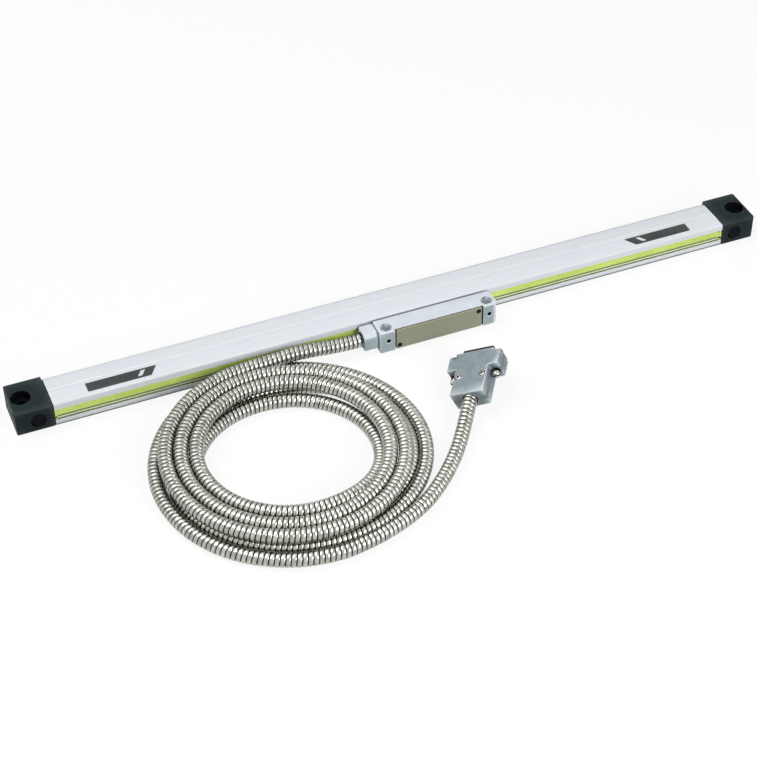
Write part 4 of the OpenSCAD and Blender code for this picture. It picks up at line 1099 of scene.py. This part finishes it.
@dataclass
class Plug:
    """The D-sub plug, modelled flat in its own frame and then laid in its place."""

    origin: Triple = (9.8, -117.6, 5.6807)
    tilt: Triple = (8.2, -25.6, -37.5)
    width: float = 25.6
    flange: float = 39.7
    length: float = 37.9
    flange_length: float = 13.6
    thickness: float = 14.7
    lip_width: float = 30.0
    lip_length: float = 2.4
    jack_pitch: float = 33.3
    screw_x: float = 9.3
    screw_y: float = 17.0
    screw_sink: float = 0.8
    seam_gap: float = 0.06
    hood_wall: float = 1.8
    rim_bevel: float = 0.57

    @property
    def middle(self) -> float:
        """Height of the seam and of the connector's axis."""
        return self.thickness / 2

    @property
    def back(self) -> float:
        """Where the flanges start, from the cable's end."""
        return self.length - self.flange_length

    def pose(self) -> Matrix:
        """Gives the plug's place in the part, in metres."""
        turn = Matrix.Identity(4)
        for axis, angle in zip("XYZ", self.tilt):
            turn = Matrix.Rotation(math.radians(angle), 4, axis) @ turn
        return Matrix.Translation(metres(self.origin)) @ turn

    def cable_end(self) -> list[Vector]:
        """Gives the last points of the cable's route in millimetres."""
        pose = self.pose()
        return [(pose @ metres((0, reach, self.middle))) / MM for reach in (-9, -3, 2.9)]

    def in_frame(self, point: Vector) -> Vector:
        """Turns a point of the part into the plug's own frame, in millimetres."""
        return (self.pose().inverted() @ (point * MM)) / MM

    def lay(self, piece: Piece) -> Piece:
        """Moves a piece from the plug's frame to its place in the part."""
        piece.data.transform(self.pose())
        return piece

    @staticmethod
    def twin_rods(name: str, start: Triple, along: Triple, radius: float) -> list[Piece]:
        """Adds the same round bar on the left and on the right of the plug's middle."""
        return [
            rod(name, (side * start[0], start[1], start[2]), along, radius) for side in (-1, 1)
        ]

    def hood_blank(self, name: str, low: float, high: float) -> Piece:
        """Builds the outer form of one half of the hood between two heights."""
        hood = block(name, (-self.width / 2, 0, low), (self.width / 2, self.back + 2, high))
        wings = block("wings", (-self.flange / 2, self.back, low), (self.flange / 2, self.length, high))
        lip = block(
            "lip",
            (-self.lip_width / 2, self.length - 2, low),
            (self.lip_width / 2, self.length + self.lip_length, high),
        )
        fuse(hood, wings, lip)
        return hood

    def make_hood(self) -> None:
        """Builds both halves of the hood with their seam, holes and hollow."""
        for name, low, high in (
            ("hood_top", self.middle + self.seam_gap, self.thickness),
            ("hood_base", 0.0, self.middle - self.seam_gap),
        ):
            hood = self.hood_blank(name, low, high)
            outer = high if name == "hood_top" else low

            def rim(first: Vector, second: Vector) -> bool:
                """Picks the outer rim and the upright corners."""
                flat = lying_at(2, outer)(first, second)
                inner_corner = any(
                    abs(abs(first.x) - x) < SAME and abs(first.y - y) < SAME
                    for x, y in ((self.width / 2, self.back), (self.lip_width / 2, self.length))
                )
                upright = (first - second).xy.length < SAME
                return flat or (upright and not inner_corner)

            bevel_edges(hood, rim, self.rim_bevel, 2)
            inner = self.width / 2 - self.hood_wall
            hollow = [
                block(
                    "hollow",
                    (-inner, 6, self.hood_wall),
                    (inner, self.back + 3, self.thickness - self.hood_wall),
                ),
                block(
                    "mouth",
                    (-11.3, self.back, self.middle - 3.75),
                    (11.3, self.length + 1, self.middle + 3.75),
                ),
                block(
                    "plate_slot",
                    (-self.flange, self.length, self.middle - 6.4),
                    (self.flange, self.length + 1.05, self.middle + 6.4),
                ),
                self.d_solid("opening", 25.3, 8.6, self.length, self.lip_length + 1),
                rod("entry", (0, -1, self.middle), (0, 6, 0), 6.0),
            ]
            jack = (self.jack_pitch / 2, self.back - 1, self.middle)
            hollow += self.twin_rods("jack_hole", jack, (0, 17, 0), 1.55)
            if name == "hood_top":
                seat = (self.screw_x, self.screw_y, high - self.screw_sink)
                hollow += self.twin_rods("screw_hole", seat, (0, 0, 2), 2.95)
            cut(hood, *hollow)
            self.lay(hood)
            dress(
                hood,
                self.seamed(HOOD_COAT),
                "head",
                ["hood_upper" if name == "hood_top" else "hood_lower"],
            )
            # Painted shade on the hood's upright sides.
            repaint(hood, self.seamed(HOOD_SIDE_SHADE), self.on_side)
            # Painted shade in the screw seats and the cable's entry.
            repaint(hood, BORE_SHADE, self.in_seat)

    def seamed(self, finish: Finish) -> Finish:
        """Gives the finish with its painted edge highlight kept off the seam between the halves."""
        pose = self.pose()
        return replace(
            finish,
            seam_point=tuple(pose @ metres((0, 0, self.middle))),
            seam_normal=tuple(pose.to_3x3() @ Vector((0, 0, 1))),
        )

    def on_side(self, centre: Vector, normal: Vector) -> bool:
        """Tells a face of the hood's upright sides."""
        return abs((self.pose().to_3x3().inverted() @ normal).z) < 0.3

    def in_seat(self, centre: Vector, normal: Vector) -> bool:
        """Tells a face inside a screw's seat or the cable's entry."""
        place = self.in_frame(centre)
        from_screw = math.hypot(abs(place.x) - self.screw_x, place.y - self.screw_y)
        from_entry = math.hypot(place.x, place.z - self.middle)
        return (from_screw < 3.0 and place.z < self.thickness - 0.1) or (
            from_entry < 6.1 and 0.1 < place.y < 10
        )

    def cross_screw(self, name: str, place: Point) -> Piece:
        """Builds one pan-head screw with a cross recess, standing on +Z."""
        head = rod(name, place, (0, 0, 1.15), 2.3, 36)
        bevel_edges(head, lying_past(2, place[2] + 1.1), 0.5, 3)
        slots = []
        for turn in (25, 115):
            slot = block("slot", (-1.55, -0.4, place[2] + 0.3), (1.55, 0.4, place[2] + 1.4))
            slot.data.transform(Matrix.Rotation(math.radians(turn), 4, "Z"))
            slot.data.transform(Matrix.Translation(metres((place[0], place[1], 0))))
            slots.append(slot)
        cut(head, *slots)
        shank = rod("shank", (place[0], place[1], place[2] - 6), (0, 0, 6.2), 1.05, 20)
        return fuse(head, shank)

    def make_screws(self) -> None:
        """Builds the hood's two cross-head screws, sunk in their seats."""
        seat = self.thickness - self.screw_sink
        pair = [
            self.cross_screw("cross_screw", (side * self.screw_x, self.screw_y, seat))
            for side in (-1, 1)
        ]
        screws = self.lay(join("hood_cross_screws", pair))
        dress(screws, BRIGHT_STEEL, "head", ["hood_screws"])

        def in_cross(centre: Vector, normal: Vector) -> bool:
            """Tells a face inside a screw's cross recess."""
            place = self.in_frame(centre)
            reach = math.hypot(abs(place.x) - self.screw_x, place.y - self.screw_y)
            return reach < 1.58 and seat < place.z < seat + 1.1

        # Painted shade in the cross recesses.
        repaint(screws, BORE_SHADE, in_cross)

    def make_jackscrews(self) -> None:
        """Builds the two locking screws, each on its own body."""
        for side, name in ((-1, "left"), (1, "right")):
            x = side * self.jack_pitch / 2
            head = rod(f"lock_screw_{name}", (x, self.back - 5.8, self.middle), (0, 5.5, 0), 2.7, 32)
            bevel_edges(head, lying_past(1, self.back - 5.7, -1), 0.5, 3)
            groove = rod("neck", (x, self.back - 3.6, self.middle), (0, 0.7, 0), 3.2, 32)
            core = rod("core", (x, self.back - 4.0, self.middle), (0, 1.6, 0), 2.35, 32)
            cut(groove, core)
            cut(
                head,
                groove,
                block(
                    "slot",
                    (x - 3.2, self.back - 6.4, self.middle - 0.55),
                    (x + 3.2, self.back - 4.4, self.middle + 0.55),
                ),
            )
            shank = rod("shank", (x, self.back - 0.5, self.middle), (0, 19.3, 0), 1.42, 24)
            bevel_edges(shank, lying_past(1, self.back + 18), 0.4, 2)
            rings = []
            for turn in range(8):
                y = self.back + 14.9 + 0.46 * turn
                ring = rod("thread", (x, y, self.middle), (0, 0.2, 0), 1.8, 24)
                bore = rod("bore", (x, y - 0.5, self.middle), (0, 1.2, 0), 1.28, 24)
                rings.append(cut(ring, bore))
            fuse(head, shank)
            cut(head, *rings)
            self.lay(head)
            dress(head, BRASSY_STEEL, f"{name}_jackscrew", [f"jackscrew_{name}"])

            def in_slot(centre: Vector, normal: Vector) -> bool:
                """Tells a face inside the head's slot or at its neck."""
                place = self.in_frame(centre)
                slotted = abs(place.z - self.middle) < 0.57 and place.y < self.back - 4.3
                return abs(place.x - x) < 2.8 and (slotted or self.back - 1.9 < place.y < self.back)

            # Painted shade in the head's slot and at its neck.
            repaint(head, BORE_SHADE, in_slot)

    def d_solid(
        self, name: str, width: float, height: float, start: float, length: float
    ) -> Piece:
        """Builds a solid of D-shaped section that runs forward."""
        solid = block(
            name,
            (-width / 2, start, self.middle - height / 2),
            (width / 2, start + length, self.middle + height / 2),
        )
        for side in (-1, 1):
            slope = math.tan(math.radians(10))
            slice_off(solid, (side * width / 2, start, self.middle + height / 2), (side, 0, -slope))
        bevel_edges(solid, lambda a, b: abs(a.x - b.x) < SAME and abs(a.z - b.z) < SAME, 1.6, 4)
        return solid

    def make_connector(self) -> None:
        """Builds the connector's plate with its shell and the shell's dimples."""
        plate = block(
            "connector_plate",
            (-self.flange / 2 + 0.2, self.length, self.middle - 6.25),
            (self.flange / 2 - 0.2, self.length + 0.9, self.middle + 6.25),
        )
        bevel_edges(plate, lambda a, b: abs(a.y - b.y) > 0.5, 1.0, 3)
        fuse(plate, self.d_solid("shell", 25.0, 8.3, self.length + 0.4, 7.0))
        cut(plate, self.d_solid("shell_hole", 24.0, 7.3, self.length - 1, 10))
        jack = (self.jack_pitch / 2, self.length - 1, self.middle)
        cut(plate, *self.twin_rods("jack_hole", jack, (0, 3, 0), 1.5))
        for step in range(4):
            for face in (-1, 1):
                x = (step - 1.5) * 4.6
                dimple = rod(
                    "dimple",
                    (x, self.length + 3.6, self.middle + face * 4.02),
                    (0, 0, face * 0.6),
                    0.75,
                    16,
                )
                cut(plate, dimple)
        soften(plate, 0.12, 2)
        self.lay(plate)
        dress(plate, SHELL_ZINC, "head", ["plug_shell"])

    def make_ring(self) -> None:
        """Builds the dark ring where the conduit enters the hood."""
        ring = rod("plug_entry_ring", (0, 0.2, self.middle), (0, 4.8, 0), 5.95, 40)
        cut(
            ring,
            rod("bore", (0, -1, self.middle), (0, 4.0, 0), 5.34, 40),
            rod("core", (0, -1, self.middle), (0, 8, 0), 3.5, 32),
        )
        soften(ring, 0.15)
        self.lay(ring)
        dress(ring, RUBBER, "head", ["plug_ferrule"])

    def make(self) -> None:
        """Builds the whole plug."""
        self.make_hood()
        self.make_screws()
        self.make_jackscrews()
        self.make_connector()
        self.make_ring()


# ---------------------------------------------------------------- housing


@dataclass
class ScaleHousing:
    """The extrusion with its caps, lips and labels."""

    front_wall: float = 2.6
    wall: float = 2.2
    slot_low: float = 4.8
    slot_high: float = 14.0
    ridge_y: float = 0.5
    ridge_fall: float = 0.4
    slope_width: float = 4.5
    slope_drop: float = 3.0
    foot_in: float = 0.6
    foot_up: float = 1.6
    lip_in: float = 0.7
    upper_profile: tuple[Triple, ...] = (
        (0.06, 0.5, 0.8), (0.3, 0.5, 0.8), (0.42, 0.35, 0.8), (0.62, -0.25, 0.9),
        (0.75, -0.45, 0.8), (0.86, -0.4, 0.6), (1.0, -0.2, 0.4),
    )
    lower_profile: tuple[Triple, ...] = (
        (0.08, 0.85, 0.35), (0.4, 0.85, 0.35), (0.5, 0.4, 0.8), (0.85, 0.4, 0.6), (1.0, 0.5, 0.4)
    )
    slit_shade: float = 0.75
    root_shade: float = 0.95
    cap_hole_in: float = 8.7
    seat_radius: float = 7.25
    side_hole_in: float = 16.5
    side_hole_z: float = 9.0
    side_seat_radius: float = 5.8
    cap_length: float = 27.2
    spigot_length: float = 5.8
    label_slant: tuple[float, float] = (9.0, 6.0)
    cap_screw_places: tuple[tuple[float, float], ...] = ((-10.3, 14.4), (12.4, 4.2))

    def make_extrusion(self) -> None:
        """Builds the hollow extrusion with its ridge, slope and slot."""
        low, high = node_box("housing")
        body = block("extrusion", low, high)
        slope_y = high.y - self.slope_width
        fall = self.ridge_fall / (slope_y - self.ridge_y)
        slice_off(body, (0, self.ridge_y, high.z), (0, fall, 1))
        slice_off(
            body,
            (0, slope_y, high.z - self.ridge_fall),
            (0, self.slope_drop - self.ridge_fall, self.slope_width),
        )

        for side, y in ((-1, low.y), (1, high.y)):
            slice_off(
                body, (0, y - side * self.foot_in, low.z), (0, side * self.foot_up, -self.foot_in)
            )

        def lengthwise(first: Vector, second: Vector) -> bool:
            """Picks the long outer edges but the ridge."""
            high_up = first.z > low.z + self.foot_up + 0.1
            return abs(first.x - second.x) > 100 and abs(first.y - self.ridge_y) > 1 and high_up

        bevel_edges(body, lengthwise, 0.4, 3)
        bevel_edges(
            body,
            lambda a, b: abs(a.x - b.x) > 100 and abs(a.y - self.ridge_y) < 0.1 and a.z > 18,
            0.35,
            2,
        )
        roof = high.z - self.wall - self.ridge_fall
        cavity = block(
            "cavity",
            (low.x - 1, low.y + self.front_wall, self.wall),
            (high.x + 1, high.y - self.wall, roof),
        )
        slice_off(
            cavity,
            (0, high.y - self.wall - self.slope_width, roof),
            (0, self.slope_drop, self.slope_width),
        )
        slot = block(
            "slot",
            (low.x - 1, low.y - 1, self.slot_low),
            (high.x + 1, low.y + self.front_wall + 1, self.slot_high),
        )
        cut(body, cavity, slot)

        def slot_rim(first: Vector, second: Vector) -> bool:
            """Picks the slot's two front edges."""
            return (
                abs(first.x - second.x) > 100
                and abs(first.y - low.y) < SAME
                and min(abs(first.z - self.slot_low), abs(first.z - self.slot_high)) < SAME
            )

        bevel_edges(body, slot_rim, 0.28, 2)
        grooves = [
            block(
                "groove",
                (low.x - 1, low.y + self.lip_in, z0),
                (high.x + 1, low.y + self.lip_in + 1.2, z1),
            )
            for z0, z1 in (
                (self.slot_low - 2, self.slot_low + 1), (self.slot_high - 1, self.slot_high + 2)
            )
        ]
        cut(body, *grooves)
        dress(body, ANODISED, "scale", ["housing"], angle=25)
        repaint(
            body,
            FOOT_SHADE,
            lambda centre, normal: centre.z < self.foot_up and -0.6 < normal.z < -0.2,
        )

    def make_lips(self) -> None:
        """Draws the two lips out of their roots, down and up to the slit."""
        for name, node, edge_z, way, profile, finish in (
            ("upper_lip", "seal_lip_upper", self.slot_high, -1, self.upper_profile, LIME),
            # The lower lip takes the paler lime copy as painted light.
            ("lower_lip", "seal_lip_lower", self.slot_low, 1, self.lower_profile, LIT_LIME),
        ):
            low, high = node_box(node)
            root_y = low.y + 0.6
            root = (
                (low.x, root_y, edge_z) if way < 0 else (low.x, root_y, low.z),
                (high.x, root_y + 1.2, high.z) if way < 0 else (high.x, root_y + 1.2, edge_z),
            )
            lip = block(name, *root)
            reach = (edge_z - low.z) if way < 0 else (high.z - edge_z)
            steps, reached, middle_y, thick = [], 0.0, root_y + 0.6, 1.2
            for share, front, width in profile:
                centre_y = root_y + front + width / 2
                shift = (0, centre_y - middle_y, way * reach * (share - reached))
                steps.append((shift, (1, width / thick, 1)))
                reached, middle_y, thick = share, centre_y, width
            draw_out(lip, lambda centre, normal: normal.z * way > 0.9, steps)
            dress(lip, finish, "scale", [node], angle=50)
            low_end, high_end = (
                (low.z, low.z + self.slit_shade) if way < 0 else (edge_z, edge_z + self.root_shade)
            )
            repaint(lip, SEAL_SHADE, lambda centre, normal: low_end < centre.z < high_end)

    def make_caps(self) -> None:
        """Builds both cap castings with their counterbored holes."""
        for side, name in ((-1, "left"), (1, "right")):
            low, high = node_box(f"end_cap_{name}")
            outer = low.x if side < 0 else high.x
            face = outer - side * self.cap_length
            cap = block(
                f"cap_casting_{name}",
                (min(outer, face), low.y, low.z),
                (max(outer, face), high.y, high.z),
            )

            def far_corner(first: Vector, second: Vector) -> bool:
                """Picks the outer end's upright corners."""
                return lying_at(0, outer)(first, second) and abs(first.z - second.z) > 10

            bevel_edges(cap, far_corner, 1.5, 5)
            soften(cap, 0.4, 2, 60)
            x_up = outer - side * self.cap_hole_in
            x_side = outer - side * self.side_hole_in
            holes = [
                recess_for("seat", (x_up, 0, high.z), (0, 0, -1), self.seat_radius, 6.0),
                rod("hole", (x_up, 0, -1), (0, 0, 30), 3.5),
                recess_for(
                    "side_seat",
                    (x_side, low.y, self.side_hole_z),
                    (0, 1, 0),
                    self.side_seat_radius,
                    4.0,
                ),
                rod("side_hole", (x_side, low.y - 1, self.side_hole_z), (0, 40, 0), 2.7),
                rod(
                    "seat_chamfer",
                    (x_up, 0, high.z - 0.2),
                    (0, 0, 0.3),
                    self.seat_radius,
                    tip=self.seat_radius + 0.3,
                ),
                rod(
                    "side_chamfer",
                    (x_side, low.y + 0.2, self.side_hole_z),
                    (0, -0.3, 0),
                    self.side_seat_radius,
                    tip=self.side_seat_radius + 0.3,
                ),
            ]
            for y, z in self.cap_screw_places:
                holes.append(recess_for("screw_seat", (outer, y, z), (-side, 0, 0), 2.7, 3.0))
            cut(cap, *holes)
            spigot = block(
                "spigot",
                (min(face, face - side * self.spigot_length), -6.3, 2.4),
                (max(face, face - side * self.spigot_length), 9.1, 7.3),
            )
            soften(spigot, 0.4)
            cap = join(cap.name, [cap, spigot])
            dress(cap, CAST_BLACK, "scale", [f"end_cap_{name}"], angle=30)

            def in_bore(centre: Vector, normal: Vector) -> bool:
                """Tells a face inside the upright or the front bore."""
                from_up = math.hypot(centre.x - x_up, centre.y)
                from_side = math.hypot(centre.x - x_side, centre.z - self.side_hole_z)
                return (from_up < self.seat_radius + 0.1 and centre.z < high.z - 0.05) or (
                    from_side < self.side_seat_radius + 0.1 and low.y + 0.05 < centre.y < high.y - 0.05
                )

            # Painted shade inside the bores.
            repaint(cap, BORE_SHADE, in_bore)

    def make_cap_screws(self) -> None:
        """Builds the four socket screws in the caps' ends."""
        low, high = node_box("cap_screws")
        screws = []
        for side, x in ((-1, low.x), (1, high.x)):
            for y, z in self.cap_screw_places:
                head = rod("head", (x, y, z), (-side * 2.4, 0, 0), 2.62, 36)
                bevel_edges(head, lying_at(0, x), 0.3, 2)
                cut(head, recess_for("socket", (x, y, z), (-side, 0, 0), 1.4, 1.3))
                shank = rod("shank", (x - side * 2.3, y, z), (-side * 34, 0, 0), 1.2, 20)
                screws.append(fuse(head, shank))
        dress(
            join("cap_socket_screws", screws), BLACK_STEEL, "scale", ["cap_screws"]
        )

    def make_labels(self) -> None:
        """Builds both label films, each with a pale slanted bar."""
        for side, name in ((-1, "left"), (1, "right")):
            low, high = node_box(f"label_{name}")
            film = block(f"label_film_{name}", low, high)
            inner = high.x if side < 0 else low.x
            slant = (-side * self.label_slant[0], -self.label_slant[1], 0)
            slice_off(film, (inner, high.y, low.z), slant)
            bevel_edges(film, lambda a, b: abs(a.z - b.z) > 0.1 and abs(a.x - b.x) < SAME, 0.5, 4)
            bevel_edges(film, lying_past(2, high.z - SAME), 0.08, 2)
            dress(film, LABEL_FILM, "scale", [f"label_{name}"])
            self.make_label_bar(name, side, inner, low, high)

    def make_label_bar(
        self, name: str, side: int, inner: float, low: Vector, high: Vector
    ) -> None:
        """Builds the pale slanted bar on a label.

        Args:
            name: Which label, left or right.
            side: -1 for the left label and 1 for the right one.
            inner: X of the label's slanted end.
            low: Lowest corner of the label.
            high: Highest corner of the label.
        """
        bar_x = inner + side * 12.0
        bar = block(
            f"label_bar_{name}",
            (bar_x - 5, low.y + 1.8, high.z - 0.05),
            (bar_x + 5, high.y - 1.8, high.z + 0.03),
        )
        for sign in (-1, 1):
            slice_off(
                bar,
                (bar_x + sign * 1.6, (low.y + high.y) / 2, high.z),
                (sign * self.label_slant[0], sign * side * self.label_slant[1], 0),
            )
        bevel_edges(bar, lambda a, b: abs(a.z - b.z) > 0.05, 0.25, 2)
        dress(bar, LABEL_MARK, "scale")

    def make(self) -> None:
        """Builds the whole housing."""
        self.make_extrusion()
        self.make_lips()
        self.make_caps()
        self.make_cap_screws()
        self.make_labels()


# ---------------------------------------------------------------- reading head


@dataclass
class ReadingHead:
    """The head's block, cover, screws and cable outlet."""

    lug: float = 11.5
    corner: float = 4.0
    seat_depth: float = 2.1
    hole_pitch: float = 80.0
    hole_in: float = 6.9
    seat_radius: float = 4.5
    seat_drop: float = 5.4
    hole_radius: float = 2.65
    tap_radius: float = 1.65
    tap_drop: float = 3.6
    tap_z: float = 9.7
    axis_y: float = -24.8
    axis_z: float = 10.0

    def make_block(self) -> None:
        """Builds the head's block between its two lugs."""
        low, high = node_box("head_block")
        middle = (low.x + high.x) / 2
        body = block("head_body", low, high)

        def upright(first: Vector, second: Vector) -> bool:
            """Tells an upright edge."""
            return (first - second).xy.length < SAME

        bevel_edges(body, lambda a, b: upright(a, b) and a.x > high.x - 0.1, self.corner, 8)
        bevel_edges(body, lambda a, b: upright(a, b) and a.x < low.x + 0.1, 0.8, 3)
        cut(
            body,
            block(
                "seat",
                (low.x + self.lug, low.y - 1, low.z - 1),
                (high.x - self.lug, low.y + self.seat_depth, high.z + 1),
            ),
        )
        soften(body, 0.4, 3, 50)
        holes = [
            block(
                "pocket",
                (middle - 28, low.y + self.seat_depth - 1, low.z + 2.5),
                (middle + 28, high.y - 2.5, high.z - 2.5),
            ),
            block(
                "blade_slot", (middle - 20.1, high.y - 4, 7.9), (middle + 20.1, high.y + 1, 9.1)
            ),
        ]
        for side in (-1, 1):
            x = middle + side * self.hole_pitch / 2
            y = low.y + self.hole_in
            holes += [
                recess_for("seat", (x, y, high.z), (0, 0, -1), self.seat_radius, self.seat_drop),
                rod("hole", (x, y, low.z - 1), (0, 0, 30), self.hole_radius),
                rod(
                    "rim",
                    (x, y, high.z - 0.3),
                    (0, 0, 0.4),
                    self.seat_radius,
                    tip=self.seat_radius + 0.4,
                ),
                recess_for(
                    "tap", (x, low.y, low.z + self.tap_z), (0, 1, 0), self.tap_radius, self.tap_drop
                ),
                rod(
                    "tap_rim",
                    (x, low.y + 0.35, low.z + self.tap_z),
                    (0, -0.45, 0),
                    self.tap_radius,
                    tip=self.tap_radius + 0.45,
                ),
            ]
        cut(body, *holes)
        dress(body, HEAD_COAT, "head", ["head_block"], angle=30)

        def in_tap(centre: Vector, normal: Vector) -> bool:
            """Tells a face inside a tapped hole or at the foot of a lug's bore."""
            from_tap = math.hypot(
                abs(centre.x - middle) - self.hole_pitch / 2, centre.z - low.z - self.tap_z
            )
            from_hole = math.hypot(
                abs(centre.x - middle) - self.hole_pitch / 2, centre.y - low.y - self.hole_in
            )
            return (from_tap < self.tap_radius + 0.1 and low.y + 0.4 < centre.y < -24) or (
                from_hole < self.hole_radius + 0.1 and centre.z < high.z - self.seat_drop - 0.1
            )

        # Painted shade on the block's front faces.
        repaint(body, HEAD_FRONT_SHADE, lambda centre, normal: normal.y < -0.96)
        # Painted shade in the tapped holes and at the foot of the lugs' bores.
        repaint(body, BORE_SHADE, in_tap)

        def in_seat(centre: Vector, normal: Vector) -> bool:
            """Tells a face of the cover's seat or of the gaps at its ends."""
            from_end = min(centre.x - low.x, high.x - centre.x)
            on_floor = abs(centre.y - low.y - self.seat_depth) < 0.05 and from_end > self.lug - 0.5
            on_side = abs(from_end - self.lug) < 0.05 and abs(normal.x) > 0.9
            return on_floor or (on_side and low.y + 0.4 < centre.y < low.y + self.seat_depth)

        # Painted shade on the cover's seat and in the gaps at its ends.
        repaint(body, BORE_SHADE, in_seat)

    def make_cover(self) -> None:
        """Builds the cover plate with its two screws."""
        low, high = node_box("head_cover")
        plate = block("cover_plate", low, high)
        bevel_edges(plate, lambda a, b: abs(a.y - b.y) > 0.5, 0.5, 3)
        soften(plate, 0.18, 2)
        places = [(low.x + 2.6, low.y, low.z + 3.0), (high.x - 2.6, low.y, high.z - 3.0)]
        cut(plate, *(recess_for("sink", place, (0, 1, 0), 2.0, 1.0) for place in places))
        dress(plate, OLIVE_PLATE, "head", ["head_cover"])
        screws = []
        for x, y, z in places:
            head = rod("head", (x, y + 0.05, z), (0, 0.95, 0), 1.88, 32)
            bevel_edges(head, lying_past(1, y + 0.1, -1), 0.25, 2)
            cut(head, recess_for("socket", (x, y, z), (0, 1, 0), 0.8, 0.6))
            screws.append(fuse(head, rod("shank", (x, y + 0.9, z), (0, 4.2, 0), 0.78, 16)))
        dress(
            join("cover_socket_screws", screws),
            BLACK_STEEL,
            "head",
            ["cover_screws"],
        )

    def make_outlet(self) -> None:
        """Builds the cable outlet with its rounded shoulder and its ring."""
        low, high = node_box("gland_block")
        outlet = block("cable_outlet", low, high)
        bevel_edges(
            outlet,
            lambda a, b: abs(a.x - b.x) > 5 and a.y < low.y + 0.1 and a.z > high.z - 0.1,
            5.0,
            8,
        )
        slice_off(outlet, (0, low.y + 1.2, low.z), (0, -1, -1))
        bevel_edges(outlet, lying_at(0, low.x), 0.8, 4)
        soften(outlet, 0.25, 2, 60)
        cut(
            outlet,
            rod("entry", (low.x - 1, self.axis_y, self.axis_z), (4, 0, 0), 5.8),
            rod("bore", (low.x - 1, self.axis_y, self.axis_z), (10, 0, 0), 3.5),
        )
        dress(outlet, HEAD_COAT, "head", ["gland_block"], angle=30)
        # Painted shade on the outlet's front faces.
        repaint(outlet, HEAD_FRONT_SHADE, lambda centre, normal: normal.y < -0.8)
        ring_low, ring_high = node_box("ferrule")
        ring = rod(
            "entry_ring",
            (ring_low.x + 0.5, self.axis_y, self.axis_z),
            (ring_high.x - ring_low.x - 0.5, 0, 0),
            5.74,
        )
        cut(ring, rod("bore", (ring_low.x - 1, self.axis_y, self.axis_z), (9, 0, 0), 5.36))
        soften(ring, 0.12, 2)
        dress(ring, RING_BLACK, "head", ["ferrule"])

    def make(self) -> None:
        """Builds the whole head."""
        self.make_block()
        self.make_cover()
        self.make_outlet()


# ---------------------------------------------------------------- inner pieces


@dataclass
class InnerParts:
    """Frame nodes that keep their shape and get a finish."""

    finishes: tuple[tuple[Look, tuple[str, ...]], ...] = (
        (RUBBER, ("gasket_left", "gasket_right", "bond_strip", "cover_gasket", "gland_seal")),
        (GLASS, ("glass_scale", "reticle")),
        (TRACK, ("grating_track",)),
        (LIME, ("lip_retainers",)),
        (BOARD, ("signal_board", "sensor_board")),
        (BRIGHT_STEEL, ("board_screws", "drive_blade", "blade_screws", "coupling_springs")),
        (BRIGHT_STEEL, ("roller_pins", "roller_edge_left", "roller_edge_right")),
        (BRIGHT_STEEL, ("roller_face_left", "roller_face_right")),
        (AMBER_FILM, ("ribbon_lead",)),
        (CARRIAGE_CAST, ("carriage",)),
        (LAMP_BODY, ("lamp",)),
        (BLACK_STEEL, ("gland_screws",)),
        (MOULDED_BLACK, ("signal_cable", "plug_insulator")),
        (GILT, ("plug_contacts",)),
    )

    def make(self) -> None:
        """Paints each kept node."""
        for finish, nodes in self.finishes:
            for node in nodes:
                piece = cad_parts[node]
                piece.data.materials.clear()
                piece.data.materials.append(finish.material())
                log.info("%s: kept, %s", node, finish.name)


# ---------------------------------------------------------------- assembly


def main() -> None:
    """Builds the scene: camera and cable first, then the rest."""
    studio = Studio()
    studio.set_camera()
    plug = Plug()
    ArmouredCable().make(plug.cable_end())
    ScaleHousing().make()
    ReadingHead().make()
    plug.make()
    InnerParts().make()
    studio.lay_floor()
    studio.light()


if __name__ == "__main__":
    main()
